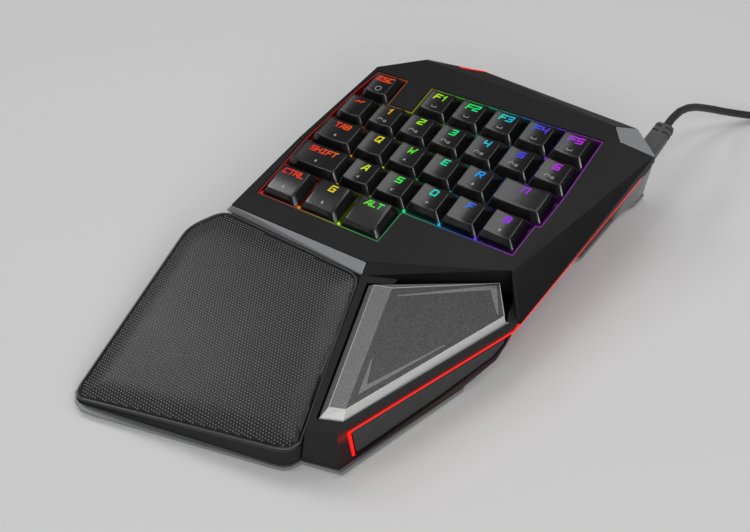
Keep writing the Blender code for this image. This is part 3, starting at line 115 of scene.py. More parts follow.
class Finish:
    # A Principled material whose sockets take numbers, colours or links

    def __init__(self, name, colour, roughness, metallic=0.0, coat=0.0, glow=0.0):
        self.material = bpy.data.materials.new(name)
        self.material.use_nodes = True
        self.nodes = self.material.node_tree.nodes
        self.links = self.material.node_tree.links
        self.shader = self.nodes["Principled BSDF"]
        self.set("Base Color", (*colour, 1.0))
        self.set("Roughness", roughness)
        self.set("Metallic", metallic)
        self.set("Coat Weight", coat)
        self.set("Coat Roughness", 0.12)
        self.set("Emission Strength", glow)
        self.material.diffuse_color = (*colour, 1.0)

    def set(self, socket, value):
        self.fill(self.shader.inputs[socket], value)

    def fill(self, target, value):
        if isinstance(value, Value):
            self.links.new(value.socket, target)
        elif isinstance(value, bpy.types.NodeSocket):
            self.links.new(value, target)
        else:
            target.default_value = value

    def node(self, kind, settings=None, **sockets):
        # Settings first, since they decide which sockets there are; then sockets by name or number
        node = self.nodes.new("ShaderNode" + kind)
        for key, value in (settings or {}).items():
            if key == "stops":
                ramp = node.color_ramp
                while len(ramp.elements) < len(value):
                    ramp.elements.new(1.0)
                for element, (place, colour) in zip(ramp.elements, value):
                    element.position = place
                    element.color = (*colour, 1.0)
            else:
                setattr(node, key, value)
        for key, value in sockets.items():
            self.fill(node.inputs[int(key[1:]) if key[1:].isdigit() else key], value)
        return node

    def value(self, socket):
        return Value(self.nodes, socket)

    def coordinates(self):
        return self.node("TexCoord").outputs["Object"]

    def along(self, direction):
        # How far a place lies along a direction
        settings = {"operation": "DOT_PRODUCT"}
        node = self.node("VectorMath", settings, _0=self.coordinates(), _1=tuple(direction))
        return self.value(node.outputs["Value"])

    def axis(self, letter):
        return self.value(self.node("SeparateXYZ", Vector=self.coordinates()).outputs[letter])

    def noise(self, scale, detail=2.0, vector=None):
        node = self.node("TexNoise", Vector=vector or self.coordinates(), Scale=scale, Detail=detail)
        return self.value(node.outputs["Fac"])

    def mix(self, factor, first, second):
        node = self.node("Mix", {"data_type": "RGBA"})
        self.fill(node.inputs[0], factor)
        self.fill(node.inputs[6], first if not isinstance(first, tuple) else (*first, 1.0))
        self.fill(node.inputs[7], second if not isinstance(second, tuple) else (*second, 1.0))
        return node.outputs[2]

    def bump(self, height, strength, distance):
        node = self.node("Bump", Strength=strength, Distance=distance, Height=height)
        self.set("Normal", node.outputs["Normal"])

    def scaled(self, colour, factor):
        node = self.node("VectorMath", {"operation": "SCALE"}, _0=colour)
        self.fill(node.inputs["Scale"], factor)
        return node.outputs["Vector"]

    def clamp(self, value, low, high):
        node = self.node("MapRange", {"clamp": True}, Value=value)
        node.inputs["From Min"].default_value = low
        node.inputs["From Max"].default_value = high
        return self.value(node.outputs[0])


# Rainbow of the key lights: colours by their place across the deck, in shares of the pitch
rainbow = {"from": -0.3, "to": 7.2, "stops": (
    (0.3, (1.0, 0.01, 0.01)), (1.0, (1.0, 0.12, 0.0)), (1.5, (1.0, 0.5, 0.0)), (2.0, (0.85, 0.9, 0.0)),
    (2.7, (0.2, 1.0, 0.0)), (3.4, (0.0, 0.95, 0.12)), (4.3, (0.0, 0.85, 0.7)), (4.9, (0.0, 0.35, 1.0)),
    (5.4, (0.03, 0.07, 1.0)), (6.0, (0.25, 0.02, 1.0)), (6.6, (0.6, 0.02, 0.9)))}


def rainbowRamp(finish):
    # The ramp reads X across the object, scaled from the plan's shares to 0..1
    spread = (rainbow["to"] - rainbow["from"]) * plan["pitch"]
    start = plan["originX"] + rainbow["from"] * plan["pitch"]
    place = (finish.axis("X") - start) / spread
    stops = [((share - rainbow["from"]) / (rainbow["to"] - rainbow["from"]), colour)
             for share, colour in rainbow["stops"]]
    return finish.node("ValToRGB", {"stops": stops}, Fac=place).outputs["Color"]


plastic = {"glossScale": 28.0, "glossSwing": 0.12, "cloudScale": 90.0, "lighten": 1.35, "lift": 0.002,
           "bump": 0.35}


def moulded(name, colour, roughness, grain=2600.0, depth=0.00002, coat=0.0, shine=0.5):
    # Moulded plastic: a fine grain in the surface and a slow change in gloss
    finish = Finish(name, colour, roughness, 0.0, coat)
    finish.set("Specular IOR Level", shine)
    slow = finish.noise(plastic["glossScale"], 3.0)
    finish.set("Roughness", slow * plastic["glossSwing"] + (roughness - plastic["glossSwing"] / 2))
    lighter = tuple(channel * plastic["lighten"] + plastic["lift"] for channel in colour)
    finish.set("Base Color", finish.mix(finish.noise(plastic["cloudScale"], 4.0), colour, lighter))
    finish.bump(finish.noise(grain, 2.0), plastic["bump"], depth)
    return finish.material


brushed = {"scale": (60.0, 1400.0, 1400.0), "cloudScale": 40.0, "darken": 0.82, "lineSwing": 0.16,
           "cloudSwing": 0.08, "bump": 0.12, "depth": 0.00001}


def brushedMetal(name, colour, roughness, metallic):
    # Satin metal: a fine grain stretched along X, and faint clouding
    finish = Finish(name, colour, roughness, metallic)
    stretched = finish.node("Mapping", Vector=finish.coordinates())
    stretched.inputs["Scale"].default_value = brushed["scale"]
    lines = finish.noise(1.0, 3.0, stretched.outputs["Vector"])
    cloud = finish.noise(brushed["cloudScale"], 3.0)
    darker = tuple(channel * brushed["darken"] for channel in colour)
    finish.set("Base Color", finish.mix(lines * 0.5 + cloud * 0.5, darker, colour))
    lineSwing, cloudSwing = brushed["lineSwing"], brushed["cloudSwing"]
    least = roughness - (lineSwing + cloudSwing) / 2
    finish.set("Roughness", lines * lineSwing + cloud * cloudSwing + least)
    finish.bump(lines, brushed["bump"], brushed["depth"])
    return finish.material


flecks = {"scale": 2700.0, "from": 0.36, "to": 0.68, "glossier": 0.12, "bump": 0.25, "depth": 0.000015}


def flecked(name, dark, light, roughness, metallic):
    # Metallic paint: light flakes about a third of a millimetre across in a darker ground
    finish = Finish(name, dark, roughness, metallic)
    flakes = finish.clamp(finish.noise(flecks["scale"], 1.0), flecks["from"], flecks["to"])
    finish.set("Base Color", finish.mix(flakes, dark, light))
    finish.set("Roughness", flakes * -flecks["glossier"] + roughness)
    finish.bump(flakes, flecks["bump"], flecks["depth"])
    return finish.material


lit = {"colour": (0.004, 0.004, 0.004), "roughness": 0.45, "shine": 0.15, "scale": 900.0, "bump": 0.1,
       "depth": 0.00001, "wallDim": 0.12, "wallFrom": -0.0013, "wallTo": -0.0006}


def glowing(name, strength, colour=None):
    # Clear plastic lit from inside, in one colour or else in the rainbow's
    finish = Finish(name, lit["colour"], lit["roughness"], glow=strength)
    finish.set("Specular IOR Level", lit["shine"])
    finish.set("Emission Color", (*colour, 1.0) if colour else rainbowRamp(finish))
    finish.bump(finish.noise(lit["scale"]), lit["bump"], lit["depth"])
    return finish.material


def wallGlow(name, strength):
    # The wall round the keys: a thin bright line along its upper edge over a dim wash
    finish = Finish(name, lit["colour"], lit["roughness"], glow=strength)
    height = finish.along(deckNormal) - float(deckOrigin @ deckNormal)
    share = finish.clamp(height, lit["wallFrom"], lit["wallTo"]) * (1 - lit["wallDim"]) + lit["wallDim"]
    finish.set("Emission Color", finish.scaled(rainbowRamp(finish), share))
    return finish.material


wash = {"colour": (0.006, 0.006, 0.007), "glossScale": 60.0, "glossSwing": 0.2, "roughness": 0.3,
        "metallic": 0.3, "scale": 70.0, "from": 0.45, "to": 0.7, "swing": 0.05, "least": 0.03}


def plateGlow(name):
    # The dark plate under the keys, with a dim and uneven wash of their light
    finish = Finish(name, wash["colour"], wash["roughness"], wash["metallic"], glow=1.0)
    finish.set("Roughness", finish.noise(wash["glossScale"]) * wash["glossSwing"] + wash["roughness"])
    uneven = finish.clamp(finish.noise(wash["scale"], 1.0), wash["from"], wash["to"])
    finish.set("Emission Color", finish.scaled(rainbowRamp(finish), uneven * wash["swing"] + wash["least"]))
    return finish.material


# Painted red light of the guide on the block's side: between which heights it fades, above and below the
# guide, and how far outwards it starts
spill = {"black": (0.006, 0.006, 0.006), "roughness": 0.45, "shine": 0.15, "above": (0.0262, 0.0226),
         "below": (0.0165, 0.021), "outwards": (0.933, -0.36, 0.0), "outside": (0.06, 0.07),
         "colour": (1.0, 0.004, 0.002), "most": 0.15, "least": 0.012}


def sideGlow(name):
    # The block's side: black, with the guide's red light painted on it as a glow, brightest beside the guide
    finish = Finish(name, spill["black"], spill["roughness"], glow=1.0)
    finish.set("Specular IOR Level", spill["shine"])
    height = finish.axis("Z")
    near = finish.clamp(height, *spill["above"]) * finish.clamp(height, *spill["below"])
    outside = finish.clamp(finish.along(spill["outwards"]), *spill["outside"])
    strength = (near * near * spill["most"] + spill["least"]) * outside
    finish.set("Emission Color", finish.scaled(spill["colour"], strength))
    return finish.material


finishes = {
    "satin": moulded("satin black plastic", (0.01, 0.01, 0.0105), 0.42, shine=0.18),
    "flank": moulded("satin black plastic of the lower case", (0.008, 0.008, 0.0085), 0.48, shine=0.3),
    "gloss": moulded("glossy black key plastic", (0.0025, 0.0025, 0.003), 0.24, 3200.0, 0.000006, 0.3, 0.45),
    # Lighter grey on the cut corners of the key skirts: a painted highlight
    "keyCornerHighlight": moulded("painted highlight on the keys' cut corners", (0.03, 0.03, 0.031), 0.24, 3200.0, 0.000006, 0.6, 1.0),
    "pad": moulded("black pad rubber", (0.004, 0.004, 0.004), 0.34, 2200.0, 0.00001, shine=0.42),
    # Light grey dots: partly their own tone, partly a painted highlight
    "dots": moulded("raised pad dots", (0.1, 0.1, 0.1), 0.3, 3000.0, 0.000005, 0.1),
    # The lip's lighter grey paints its highlight
    "lip": moulded("rolled lip of the pad", (0.04, 0.04, 0.04), 0.3, 3000.0, 0.000005, 0.1),
    "rubber": moulded("grip rubber", (0.02, 0.02, 0.02), 0.8, 1500.0, 0.00004),
    "silver": brushedMetal("satin silver", (0.46, 0.465, 0.474), 0.36, 0.4),
    "foot": brushedMetal("satin grey metal", (0.27, 0.273, 0.28), 0.38, 0.4),
    "steel": brushedMetal("plain steel", (0.52, 0.52, 0.53), 0.3, 1.0),
    "thumb": flecked("dark metallic grey paint", (0.027, 0.027, 0.028), (0.09, 0.091, 0.093), 0.46, 0.15),
    # Lighter grey for the thumb key's left-facing facets, a painted highlight, and the grey of the accents on
    # its top
    "thumbSide": flecked("metallic grey paint", (0.14, 0.141, 0.143), (0.25, 0.251, 0.253), 0.46, 0.15),
    # Light grey for the thumb key's front-right facets and the lines along its upper edges: painted
    # highlights
    "thumbHighlight": flecked("light grey of painted highlights", (0.66, 0.655, 0.65), (0.8, 0.795, 0.79), 0.4, 0.2),
    "panel": flecked("dark side panel", (0.018, 0.02, 0.02), (0.04, 0.042, 0.042), 0.32, 0.3),
    "redGlow": glowing("lit red light guide", 1.3, (1.0, 0.008, 0.004)),
    "rimGlow": wallGlow("lit rainbow light guide", 0.17),
    "legendGlow": glowing("lit key legends", 0.82),
    # Glowing lozenges at the keys' corners that paint the glints of the key light
    "spots": glowing("painted glints between the keys", 0.85),
    "plate": plateGlow("lit plate under the keys"),
    "blockSide": sideGlow("black plastic with painted red light"),
    "grey": moulded("grey printed symbols", (0.32, 0.32, 0.33), 0.4, 2600.0, 0.000004),
    "lead": moulded("lead sheath", (0.02, 0.02, 0.021), 0.5, 1800.0, 0.00002),
    "relief": moulded("grey-black strain relief", (0.08, 0.08, 0.082), 0.5, 2000.0, 0.00002),
    "strap": moulded("black strap", (0.02, 0.02, 0.02), 0.7, 900.0, 0.00006),
    "silicone": moulded("milky silicone", (0.5, 0.5, 0.49), 0.55, 800.0, 0.00002),
    "film": moulded("printed film", (0.45, 0.47, 0.46), 0.35, 900.0, 0.000005),
    "board": moulded("green board lacquer", (0.015, 0.09, 0.035), 0.35, 500.0, 0.00002),
}
print("stage: finishes made")


# Pieces

def addPiece(name, verts, faces, finish, body="case", sharpAngle=35.0):
    mesh = bpy.data.meshes.new(name)
    mesh.from_pydata(np.asarray(verts, float).reshape(-1, 3).tolist(), [], [list(face) for face in faces])
    mesh.materials.append(finishes[finish])
    mesh.polygons.foreach_set("use_smooth", np.ones(len(mesh.polygons), bool))
    mesh.set_sharp_from_angle(angle=radians(sharpAngle))
    piece = bpy.data.objects.new(name, mesh)
    scene.collection.objects.link(piece)
    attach(piece, body)
    return piece


def quadsBetween(low, high):
    # Quads between rows of vertex numbers; the last column joins the first
    return np.stack((low, np.roll(low, -1, -1), np.roll(high, -1, -1), high), -1).reshape(-1, 4)


def gridFaces(rows, columns):
    low = np.arange((rows - 1) * columns).reshape(rows - 1, columns)
    return quadsBetween(low, low + columns)


def addLoft(name, rings, finish, body="case", sharpAngle=35.0):
    # Rings of equal length, from the bottom up and counter-clockwise seen from above, with a face at each end
    rings = np.asarray(rings, float)
    rows, columns = rings.shape[:2]
    faces = gridFaces(rows, columns).tolist()
    faces.append(list(range(columns))[::-1])
    faces.append(list(range((rows - 1) * columns, rows * columns)))
    return addPiece(name, rings, faces, finish, body, sharpAngle)


def roundEdges(piece, width, segments=2, angle=20.0):
    bevel = piece.modifiers.new("rounded edges", "BEVEL")
    bevel.width = width
    bevel.segments = segments
    bevel.limit_method = "ANGLE"
    bevel.angle_limit = radians(angle)
    bevel.harden_normals = True


merging = {"doubles": 0.00003, "flatDegrees": 0.8}


def softened(name, node, finish, width, segments=2, body="case", angle=20.0, facets=()):
    # A copy of the CAD node with its triangles merged into whole faces and its edges rounded; the faces that
    # look along a facet's direction take its finish
    bm = bmesh.new()
    bm.from_mesh(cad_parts[node].data)
    bmesh.ops.remove_doubles(bm, verts=bm.verts, dist=merging["doubles"])
    bmesh.ops.dissolve_limit(bm, angle_limit=radians(merging["flatDegrees"]), verts=bm.verts, edges=bm.edges)
    mesh = bpy.data.meshes.new(name)
    bm.to_mesh(mesh)
    bm.free()
    mesh.materials.clear()
    mesh.materials.append(finishes[finish])
    normals = np.empty(len(mesh.polygons) * 3)
    mesh.polygons.foreach_get("normal", normals)
    slots = np.zeros(len(mesh.polygons), int)
    for number, (facet, direction, least) in enumerate(facets):
        mesh.materials.append(finishes[facet])
        slots[normals.reshape(-1, 3) @ direction > least] = number + 1
    mesh.polygons.foreach_set("material_index", slots)
    mesh.polygons.foreach_set("use_smooth", np.ones(len(mesh.polygons), bool))
    mesh.set_sharp_from_angle(angle=radians(angle))
    piece = bpy.data.objects.new(name, mesh)
    scene.collection.objects.link(piece)
    roundEdges(piece, width, segments, angle)
    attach(piece, body)
    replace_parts(piece, node)
    return piece


def cadPlaces(node):
    # All vertices of a CAD node
    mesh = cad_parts[node].data
    places = np.empty(len(mesh.vertices) * 3)
    mesh.vertices.foreach_get("co", places)
    return places.reshape(-1, 3)


def dress(node, finish):
    # A CAD node that stays gets its material
    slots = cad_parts[node].data.materials
    slots.clear()
    slots.append(finishes[finish])


# Lead: the CAD's route and coil, as one line

lead = {"radius": 0.002, "spacing": 0.0085, "samples": 20, "centre": (0.234, 0.10195), "innerRadius": 0.0125,
        "step": 0.0046, "layer": 0.0046, "dip": 0.0013, "turns": 4.25, "perTurn": 24, "lift": 0.0009,
        "startDegrees": 90.0, "tailRadius": 0.0425, "tailDegrees": 80.0, "gripThickness": 0.0078,
        "length": 1.42,
        "route": ((0.1505, 0.0591, 0.032), (0.1505, 0.0655, 0.032), (0.1512, 0.0765, 0.0303),
                  (0.1534, 0.0885, 0.0252), (0.158, 0.1008, 0.0175), (0.1655, 0.1133, 0.0092),
                  (0.176, 0.1237, 0.0037), (0.188, 0.1305, 0.0022), (0.2015, 0.1336, 0.0022),
                  (0.216, 0.1341, 0.0027), (0.2256, 0.134, 0.0029), (0.2297, 0.134, 0.0029))}


def smoothRoute(route, spacing, samples):
    # A uniform cubic spline through the points, with straight first and last stretches, read at even steps
    points = np.array(route)
    before = points[np.maximum(np.arange(len(points) - 1) - 1, 0)][:, None]
    start, end = points[:-1][:, None], points[1:][:, None]
    after = points[np.minimum(np.arange(len(points) - 1) + 2, len(points) - 1)][:, None]
    t = (np.arange(samples) / samples)[None, :, None]
    curved = 0.5 * (2 * start + (end - before) * t + (2 * before - 5 * start + 4 * end - after) * t ** 2
                    + (3 * start - before - 3 * end + after) * t ** 3)
    straight = start * (1 - t) + end * t
    curved[0], curved[-1] = straight[0], straight[-1]
    dense = np.vstack((curved.reshape(-1, 3), points[-1:]))
    lengths = np.concatenate(([0.0], np.cumsum(np.linalg.norm(np.diff(dense, axis=0), axis=1))))
    places = np.linspace(0, lengths[-1], round(lengths[-1] / spacing) + 1)
    return np.stack([np.interp(places, lengths, dense[:, axis]) for axis in range(3)], -1)


def coilPoints():
    # Two layers of turns, inwards on the table and outwards on top, all clockwise, and an eased tail to the
    # plug: each stretch is a radius, a height and an angle that change evenly or by a sine
    inner, step, perTurn = lead["innerRadius"], lead["step"], lead["perTurn"]
    low = lead["lift"] + lead["radius"]
    high = low + lead["layer"]
    outer = inner + step * lead["turns"]
    count = round(lead["turns"] * perTurn)
    climb = perTurn // 2
    down = np.arange(count) / perTurn
    over = np.arange(climb) / climb
    up = np.arange(count + 1) / perTurn
    tailCount = round(lead["tailDegrees"] / (360 / perTurn))
    tail = np.arange(1, tailCount + 1) / tailCount
    ease = tail * tail * (3 - 2 * tail)
    tailTop = lead["gripThickness"] / 2
    radius = np.concatenate((outer - step * down, inner - lead["dip"] * np.sin(np.pi * over),
                             inner + step * up, outer + (lead["tailRadius"] - outer) * ease))
    height = np.concatenate((low + 0 * down, low + lead["layer"] * (1 - np.cos(np.pi * over)) / 2,
                             high + 0 * up, high + (tailTop - high) * ease))
    turned = np.concatenate((np.arange(2 * count + climb + 1) * 360 / perTurn,
                             (2 * count + climb) * 360 / perTurn + lead["tailDegrees"] * tail))
    angle = np.radians(lead["startDegrees"] - turned)
    flat = np.array(lead["centre"]) + radius[:, None] * np.stack((np.cos(angle), np.sin(angle)), -1)
    points = np.column_stack((flat, height))
    first = points[0] - points[1]
    last = (points[-1] - points[-2]) * (1.0, 1.0, 0.0)
    ends = [row / np.linalg.norm(row) * 2 * lead["radius"] for row in (first, last)]
    return np.vstack((points[:1] + ends[0], points, points[-1:] + ends[1]))


def addLine(name, points, radius, finish, resolution=4, body="case"):
    curve = bpy.data.curves.new(name, "CURVE")
    curve.dimensions = "3D"
    curve.bevel_depth = radius
    curve.bevel_resolution = resolution
    curve.use_fill_caps = True
    spline = curve.splines.new("POLY")
    spline.points.add(len(points) - 1)
    spline.points.foreach_set("co", np.hstack((points, np.ones((len(points), 1)))).ravel())
    spline.use_smooth = True
    curve.materials.append(finishes[finish])
    piece = bpy.data.objects.new(name, curve)
    scene.collection.objects.link(piece)
    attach(piece, body)
    return piece


laidOut = smoothRoute(lead["route"], lead["spacing"], lead["samples"])
leadLine = np.vstack((laidOut, coilPoints())) + planOrigin
leadPiece = addLine("lead", leadLine, lead["radius"], "lead")
print("lead length", np.linalg.norm(np.diff(leadLine, axis=0), axis=1).sum())
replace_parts(leadPiece, "cable", "cable_coil")
tie = softened("leadTie", "cable_tie", "strap", 0.0001)
plugGrip = softened("plugGrip", "plug_grip", "relief", 0.0006, 3)
plugShell = softened("plugShell", "plug_shell", "steel", 0.0001)
print("stage: lead laid")

# Casing

# Name, CAD node, finish, radius of the edges and number of their facets
casing = (("topShell", "top_shell", "satin", 0.0006, 3), ("cornerTrim", "corner_trim", "silver", 0.0003, 2),
          ("frontTrim", "front_trim", "silver", 0.0002, 2),
          ("bottomShell", "bottom_shell", "flank", 0.0006, 2), ("basePlate", "base_plate", "foot", 0.0004, 2),
          ("rearLeg", "rear_leg", "foot", 0.0005, 2), ("restShell", "rest_shell", "satin", 0.0004, 2))
for name, node, finish, radius, segments in casing:
    softened(name, node, finish, radius, segments)
# Faces of the block that look outwards take the painted red light
blockFacets = (("blockSide", (0.93, -0.36, 0.0), 0.85),)
softened("thumbHousing", "thumb_housing", "satin", 0.0004, facets=blockFacets)
softened("thumbInsert", "thumb_insert", "panel", 0.0008)

# Strain relief: an eight-sided bar that narrows towards its tip, with rows of slots cut in up to a rib
relief = {"base": (0.0049, 0.0033), "tip": (0.0046, 0.003), "corner": 0.0014, "rib": 0.0009,
          "ribFoot": 0.0013, "slotSink": 0.0012, "slotWidth": 0.0013, "slotWall": 0.0001,
          "fromTip": (0.0069, 0.003), "nose": 0.0006, "edge": 0.00015}
reliefEnds = cadPlaces("cable_gland").min(0), cadPlaces("cable_gland").max(0)
reliefMiddle = (reliefEnds[0] + reliefEnds[1]) / 2
reliefLength = reliefEnds[1][1] - reliefEnds[0][1]


def reliefRing(along, sink=0.0, narrower=0.0):
    # A quarter of the section's outline and its mirror image, then both turned half round; a slot sinks all
    # but the rib
    share = along / reliefLength
    wide, high = np.array(relief["base"]) * (1 - share) + np.array(relief["tip"]) * share - narrower
    low = high - sink
    quarter = np.array(((wide - sink, low - relief["corner"]), (wide - sink - relief["corner"], low),
                        (relief["ribFoot"], low), (relief["rib"], high)))
    upper = np.vstack((quarter * (-1, 1), quarter[::-1]))
    return np.insert(np.vstack((upper, -upper)), 1, along - reliefLength / 2, axis=1) + reliefMiddle


reliefRings = [reliefRing(0.0)]
for distance in relief["fromTip"]:
    start = reliefLength - distance - relief["slotWidth"] / 2
    end = start + relief["slotWidth"]
    reliefRings += [reliefRing(start), reliefRing(start + relief["slotWall"], relief["slotSink"]),
                    reliefRing(end - relief["slotWall"], relief["slotSink"]), reliefRing(end)]
reliefRings += [reliefRing(reliefLength - relief["nose"]), reliefRing(reliefLength, narrower=relief["nose"])]
strainRelief = addLoft("strainRelief", reliefRings, "relief")
roundEdges(strainRelief, relief["edge"])
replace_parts(strainRelief, "cable_gland")

for grip in ("grip_front", "grip_rear_left", "grip_rear_right"):
    softened("pad_" + grip, grip, "rubber", 0.0002)

# A web between the block's rear corner and the lower case: height, then the ring in shares, counter-clockwise
web = (
    (0.0042, ((6.62, -3.6), (6.75, -3.64), (6.88, -3.62), (6.88, -3.4), (6.84, -3.12), (6.62, -3.12))),
    (0.0125, ((7.06, -3.84), (7.16, -3.98), (7.26, -3.95), (7.18, -3.6), (7.06, -3.14), (6.84, -3.12))),
    (0.0212, ((7.34, -4.15), (7.43, -4.33), (7.58, -4.3), (7.52, -3.8), (7.36, -3.18), (7.1, -3.14))))
addLoft("wellWeb", [inPlan(*np.transpose(ring), height) for height, ring in web], "flank")
print("stage: casing dressed")

# Palm rest's pad: crowned, with a rolled lip round its edge and raised dots in rows along the deck; the lip's
# lighter grey is a painted highlight, and the dots' light grey is partly their own tone and partly a painted
# highlight

pad = {"depth": 0.0043, "thickness": 0.0015, "crown": 0.0012, "inset": 0.014, "columns": 240, "innerRings": 6,
       "profile": ((0.0, 0.0008), (0.00008, 0.00045), (0.00028, 0.00015), (0.0006, 0.0), (0.0009, -0.00006),
                   (0.0012, 0.0), (0.0014, 0.00025), (0.0015, 0.0005), (0.0019, 0.0005), (0.0021, 0.0003),
                   (0.003, 0.0003), (0.005, 0.0002), (0.008, 0.0001), (0.011, 0.0), (0.014, 0.0)),
       "innermost": 0.98, "tolerance": 0.00005, "leastStep": 0.0002, "lipInset": 0.00075,
       "lipRadius": 0.00055, "lipSides": 10}
dot = {"pitch": 0.00155, "sides": 6, "radius": 0.00056, "shoulder": 0.6, "shoulderRise": 0.8, "rise": 0.00026,
       "sink": 0.0002, "inset": 0.0023}


def padOutline():
    # Upper edge of the CAD's pad, counter-clockwise, without points that lie too close to the one before
    places = cadPlaces("rest_pad") - deckOrigin
    flat = np.stack((places @ deckRight, places @ deckBack), -1)
    onTop = np.abs(places @ deckNormal + pad["depth"]) < pad["tolerance"]
    flat = np.unique(flat[onTop].round(6), axis=0)
    spread = flat - flat.mean(0)
    flat = flat[np.argsort(np.arctan2(spread[:, 1], spread[:, 0]))]
    return flat[np.linalg.norm(flat - np.roll(flat, 1, axis=0), axis=1) > pad["leastStep"]]


def fromSides(points, outline):
    # Distances inwards from the sides of a convex outline that runs counter-clockwise
    ahead = np.roll(outline, -1, axis=0) - outline
    inward = np.stack((-ahead[:, 1], ahead[:, 0]), -1) / np.linalg.norm(ahead, axis=1)[:, None]
    return ((points[..., None, :] - outline) * inward).sum(-1)


def padDepth(inset):
    # Lip's profile near the edge, and a crown that rises as a quarter of a sine
    insets, extras = np.array(pad["profile"]).T
    rise = pad["crown"] * np.sin(np.pi / 2 * np.clip(inset / pad["inset"], 0, 1))
    return pad["depth"] + np.interp(inset, insets, extras) - rise


def padEven(outline):
    # Even places along the edge, the middle, and how far inwards each place has moved when it gets there
    closed = np.vstack((outline, outline[:1]))
    lengths = np.concatenate(([0.0], np.cumsum(np.linalg.norm(np.diff(closed, axis=0), axis=1))))
    places = np.arange(pad["columns"]) / pad["columns"] * lengths[-1]
    edge = np.stack([np.interp(places, lengths, closed[:, axis]) for axis in (0, 1)], -1)
    middle = outline.mean(0)
    return edge, middle, fromSides(middle, outline)[np.abs(fromSides(edge, outline)).argmin(-1)]


def padRings(outline):
    # Each place on the edge moves towards the middle, by the profile's insets and then in even steps
    edge, middle, reach = padEven(outline)
    shares = [inset / reach for inset, _ in pad["profile"]]
    last = shares[-1]
    steps = np.arange(1, pad["innerRings"] + 1) / pad["innerRings"]
    shares += [last + (pad["innermost"] - last) * step for step in steps]
    rings = [deckPlace(edge, np.full(len(edge), pad["depth"] + pad["thickness"]))]
    for share in shares:
        flat = edge + (middle - edge) * share[:, None]
        rings.append(deckPlace(flat, padDepth(fromSides(flat, outline).min(-1))))
    return rings


def padLip(outline):
    # A bead round the pad: the edge moved in and out, up and down, round a circle
    edge, middle, reach = padEven(outline)
    rings = []
    for angle in np.arange(pad["lipSides"]) * 2 * np.pi / pad["lipSides"]:
        share = (pad["lipInset"] - pad["lipRadius"] * np.cos(angle)) / reach
        depth = np.full(len(edge), pad["depth"] - pad["lipRadius"] * np.sin(angle))
        rings.append(deckPlace(edge + (middle - edge) * share[:, None], depth))
    return np.array(rings), gridFaces(pad["lipSides"] + 1, len(edge)) % (pad["lipSides"] * len(edge))


def padDots(outline):
    # Low studs on a hexagonal grid, wherever there is room inside the lip: a foot, a shoulder and a tip each
    pitch, sides = dot["pitch"], dot["sides"]
    rows = np.arange(outline[:, 1].min(), outline[:, 1].max(), pitch * 0.75 ** 0.5)
    x, y = np.meshgrid(np.arange(outline[:, 0].min(), outline[:, 0].max(), pitch), rows)
    x = x + (np.arange(len(rows)) % 2)[:, None] * pitch / 2
    centres = np.stack((x, y), -1).reshape(-1, 2)
    inset = fromSides(centres, outline).min(-1)
    room = inset > dot["inset"]
    centres, depth = centres[room][:, None], padDepth(inset[room])[:, None]
    angle = np.arange(sides) * 2 * np.pi / sides
    spokes = np.stack((np.cos(angle), np.sin(angle)), -1) * dot["radius"]
    foot = deckPlace(centres + spokes, np.repeat(depth + dot["sink"], sides, 1))
    shoulderDepth = depth - dot["rise"] * dot["shoulderRise"]
    shoulder = deckPlace(centres + spokes * dot["shoulder"], np.repeat(shoulderDepth, sides, 1))
    tip = deckPlace(centres, depth - dot["rise"])
    low = np.arange(len(centres))[:, None] * (2 * sides + 1) + np.arange(sides)
    high = low + sides
    caps = np.stack((high, np.roll(high, -1, -1), high[:, :1] + sides + 0 * high), -1).reshape(-1, 3)
    faces = quadsBetween(low, high).tolist() + caps.tolist() + low[:, ::-1].tolist()
    return np.concatenate((foot, shoulder, tip), 1), faces


padEdge = padOutline()
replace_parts(addLoft("restPad", padRings(padEdge), "pad"), "rest_pad")
dotVerts, dotFaces = padDots(padEdge)
addPiece("restDots", dotVerts, dotFaces, "dots")
addPiece("restLip", *padLip(padEdge), "lip")
print("stage: rest pad made,", len(dotFaces) // (2 * dot["sides"] + 1), "dots")

# Inside pieces stay as the CAD has them

for node, finish in (("key_frame", "plate"), ("rim_light", "rimGlow"), ("side_light", "redGlow"),
                     ("dome_sheet", "silicone"), ("contact_sheet", "film"), ("back_plate", "steel"),
                     ("circuit_board", "board"), ("case_screw_left", "steel"), ("case_screw_right", "steel"),
                     ("thumb_pin", "steel"), ("thumb_spring", "steel"), ("thumb_switch", "lead")):
    dress(node, finish)

# The thumb key: its facets' finishes, where the lighter greys on the left-facing and front-right-facing
# facets are painted highlights, and bright lines along its upper edges, also painted highlights, in shares
# and heights
thumb = {"facets": (("thumbSide", (-1.0, 0.0, 0.0), 0.05), ("thumbHighlight", (0.5, -0.87, 0.0), 0.3)),
         "edge": 0.0003, "lineRadius": 0.00018,
         "lines": ((5.469, -8.555, 0.0271), (4.328, -5.212, 0.0271), (4.77, -5.102, 0.0279),
                   (6.83, -3.67, 0.0279), (7.411, -4.462, 0.0279)),
         "top": 0.028, "accentRise": 0.00006, "accentSink": 0.0001,
         "accents": (((7.284, -4.505), (6.805, -3.755), (5.003, -5.222), (5.015, -5.25), (6.754, -3.96),
                      (7.25, -4.51)),
                     ((5.534, -7.044), (5.84, -7.988), (6.721, -5.881), (6.69, -5.89), (5.853, -7.678),
                      (5.56, -7.05)))}
softened("thumbPlate", "thumb_key", "thumb", thumb["edge"], 2, "thumb_key", facets=thumb["facets"])
# Painted highlights: thin light grey lines along the thumb plate's upper edges
addLine("thumbEdgeHighlights", inPlan(*np.transpose(thumb["lines"])), thumb["lineRadius"], "thumbHighlight", 2, "thumb_key")

# Keys

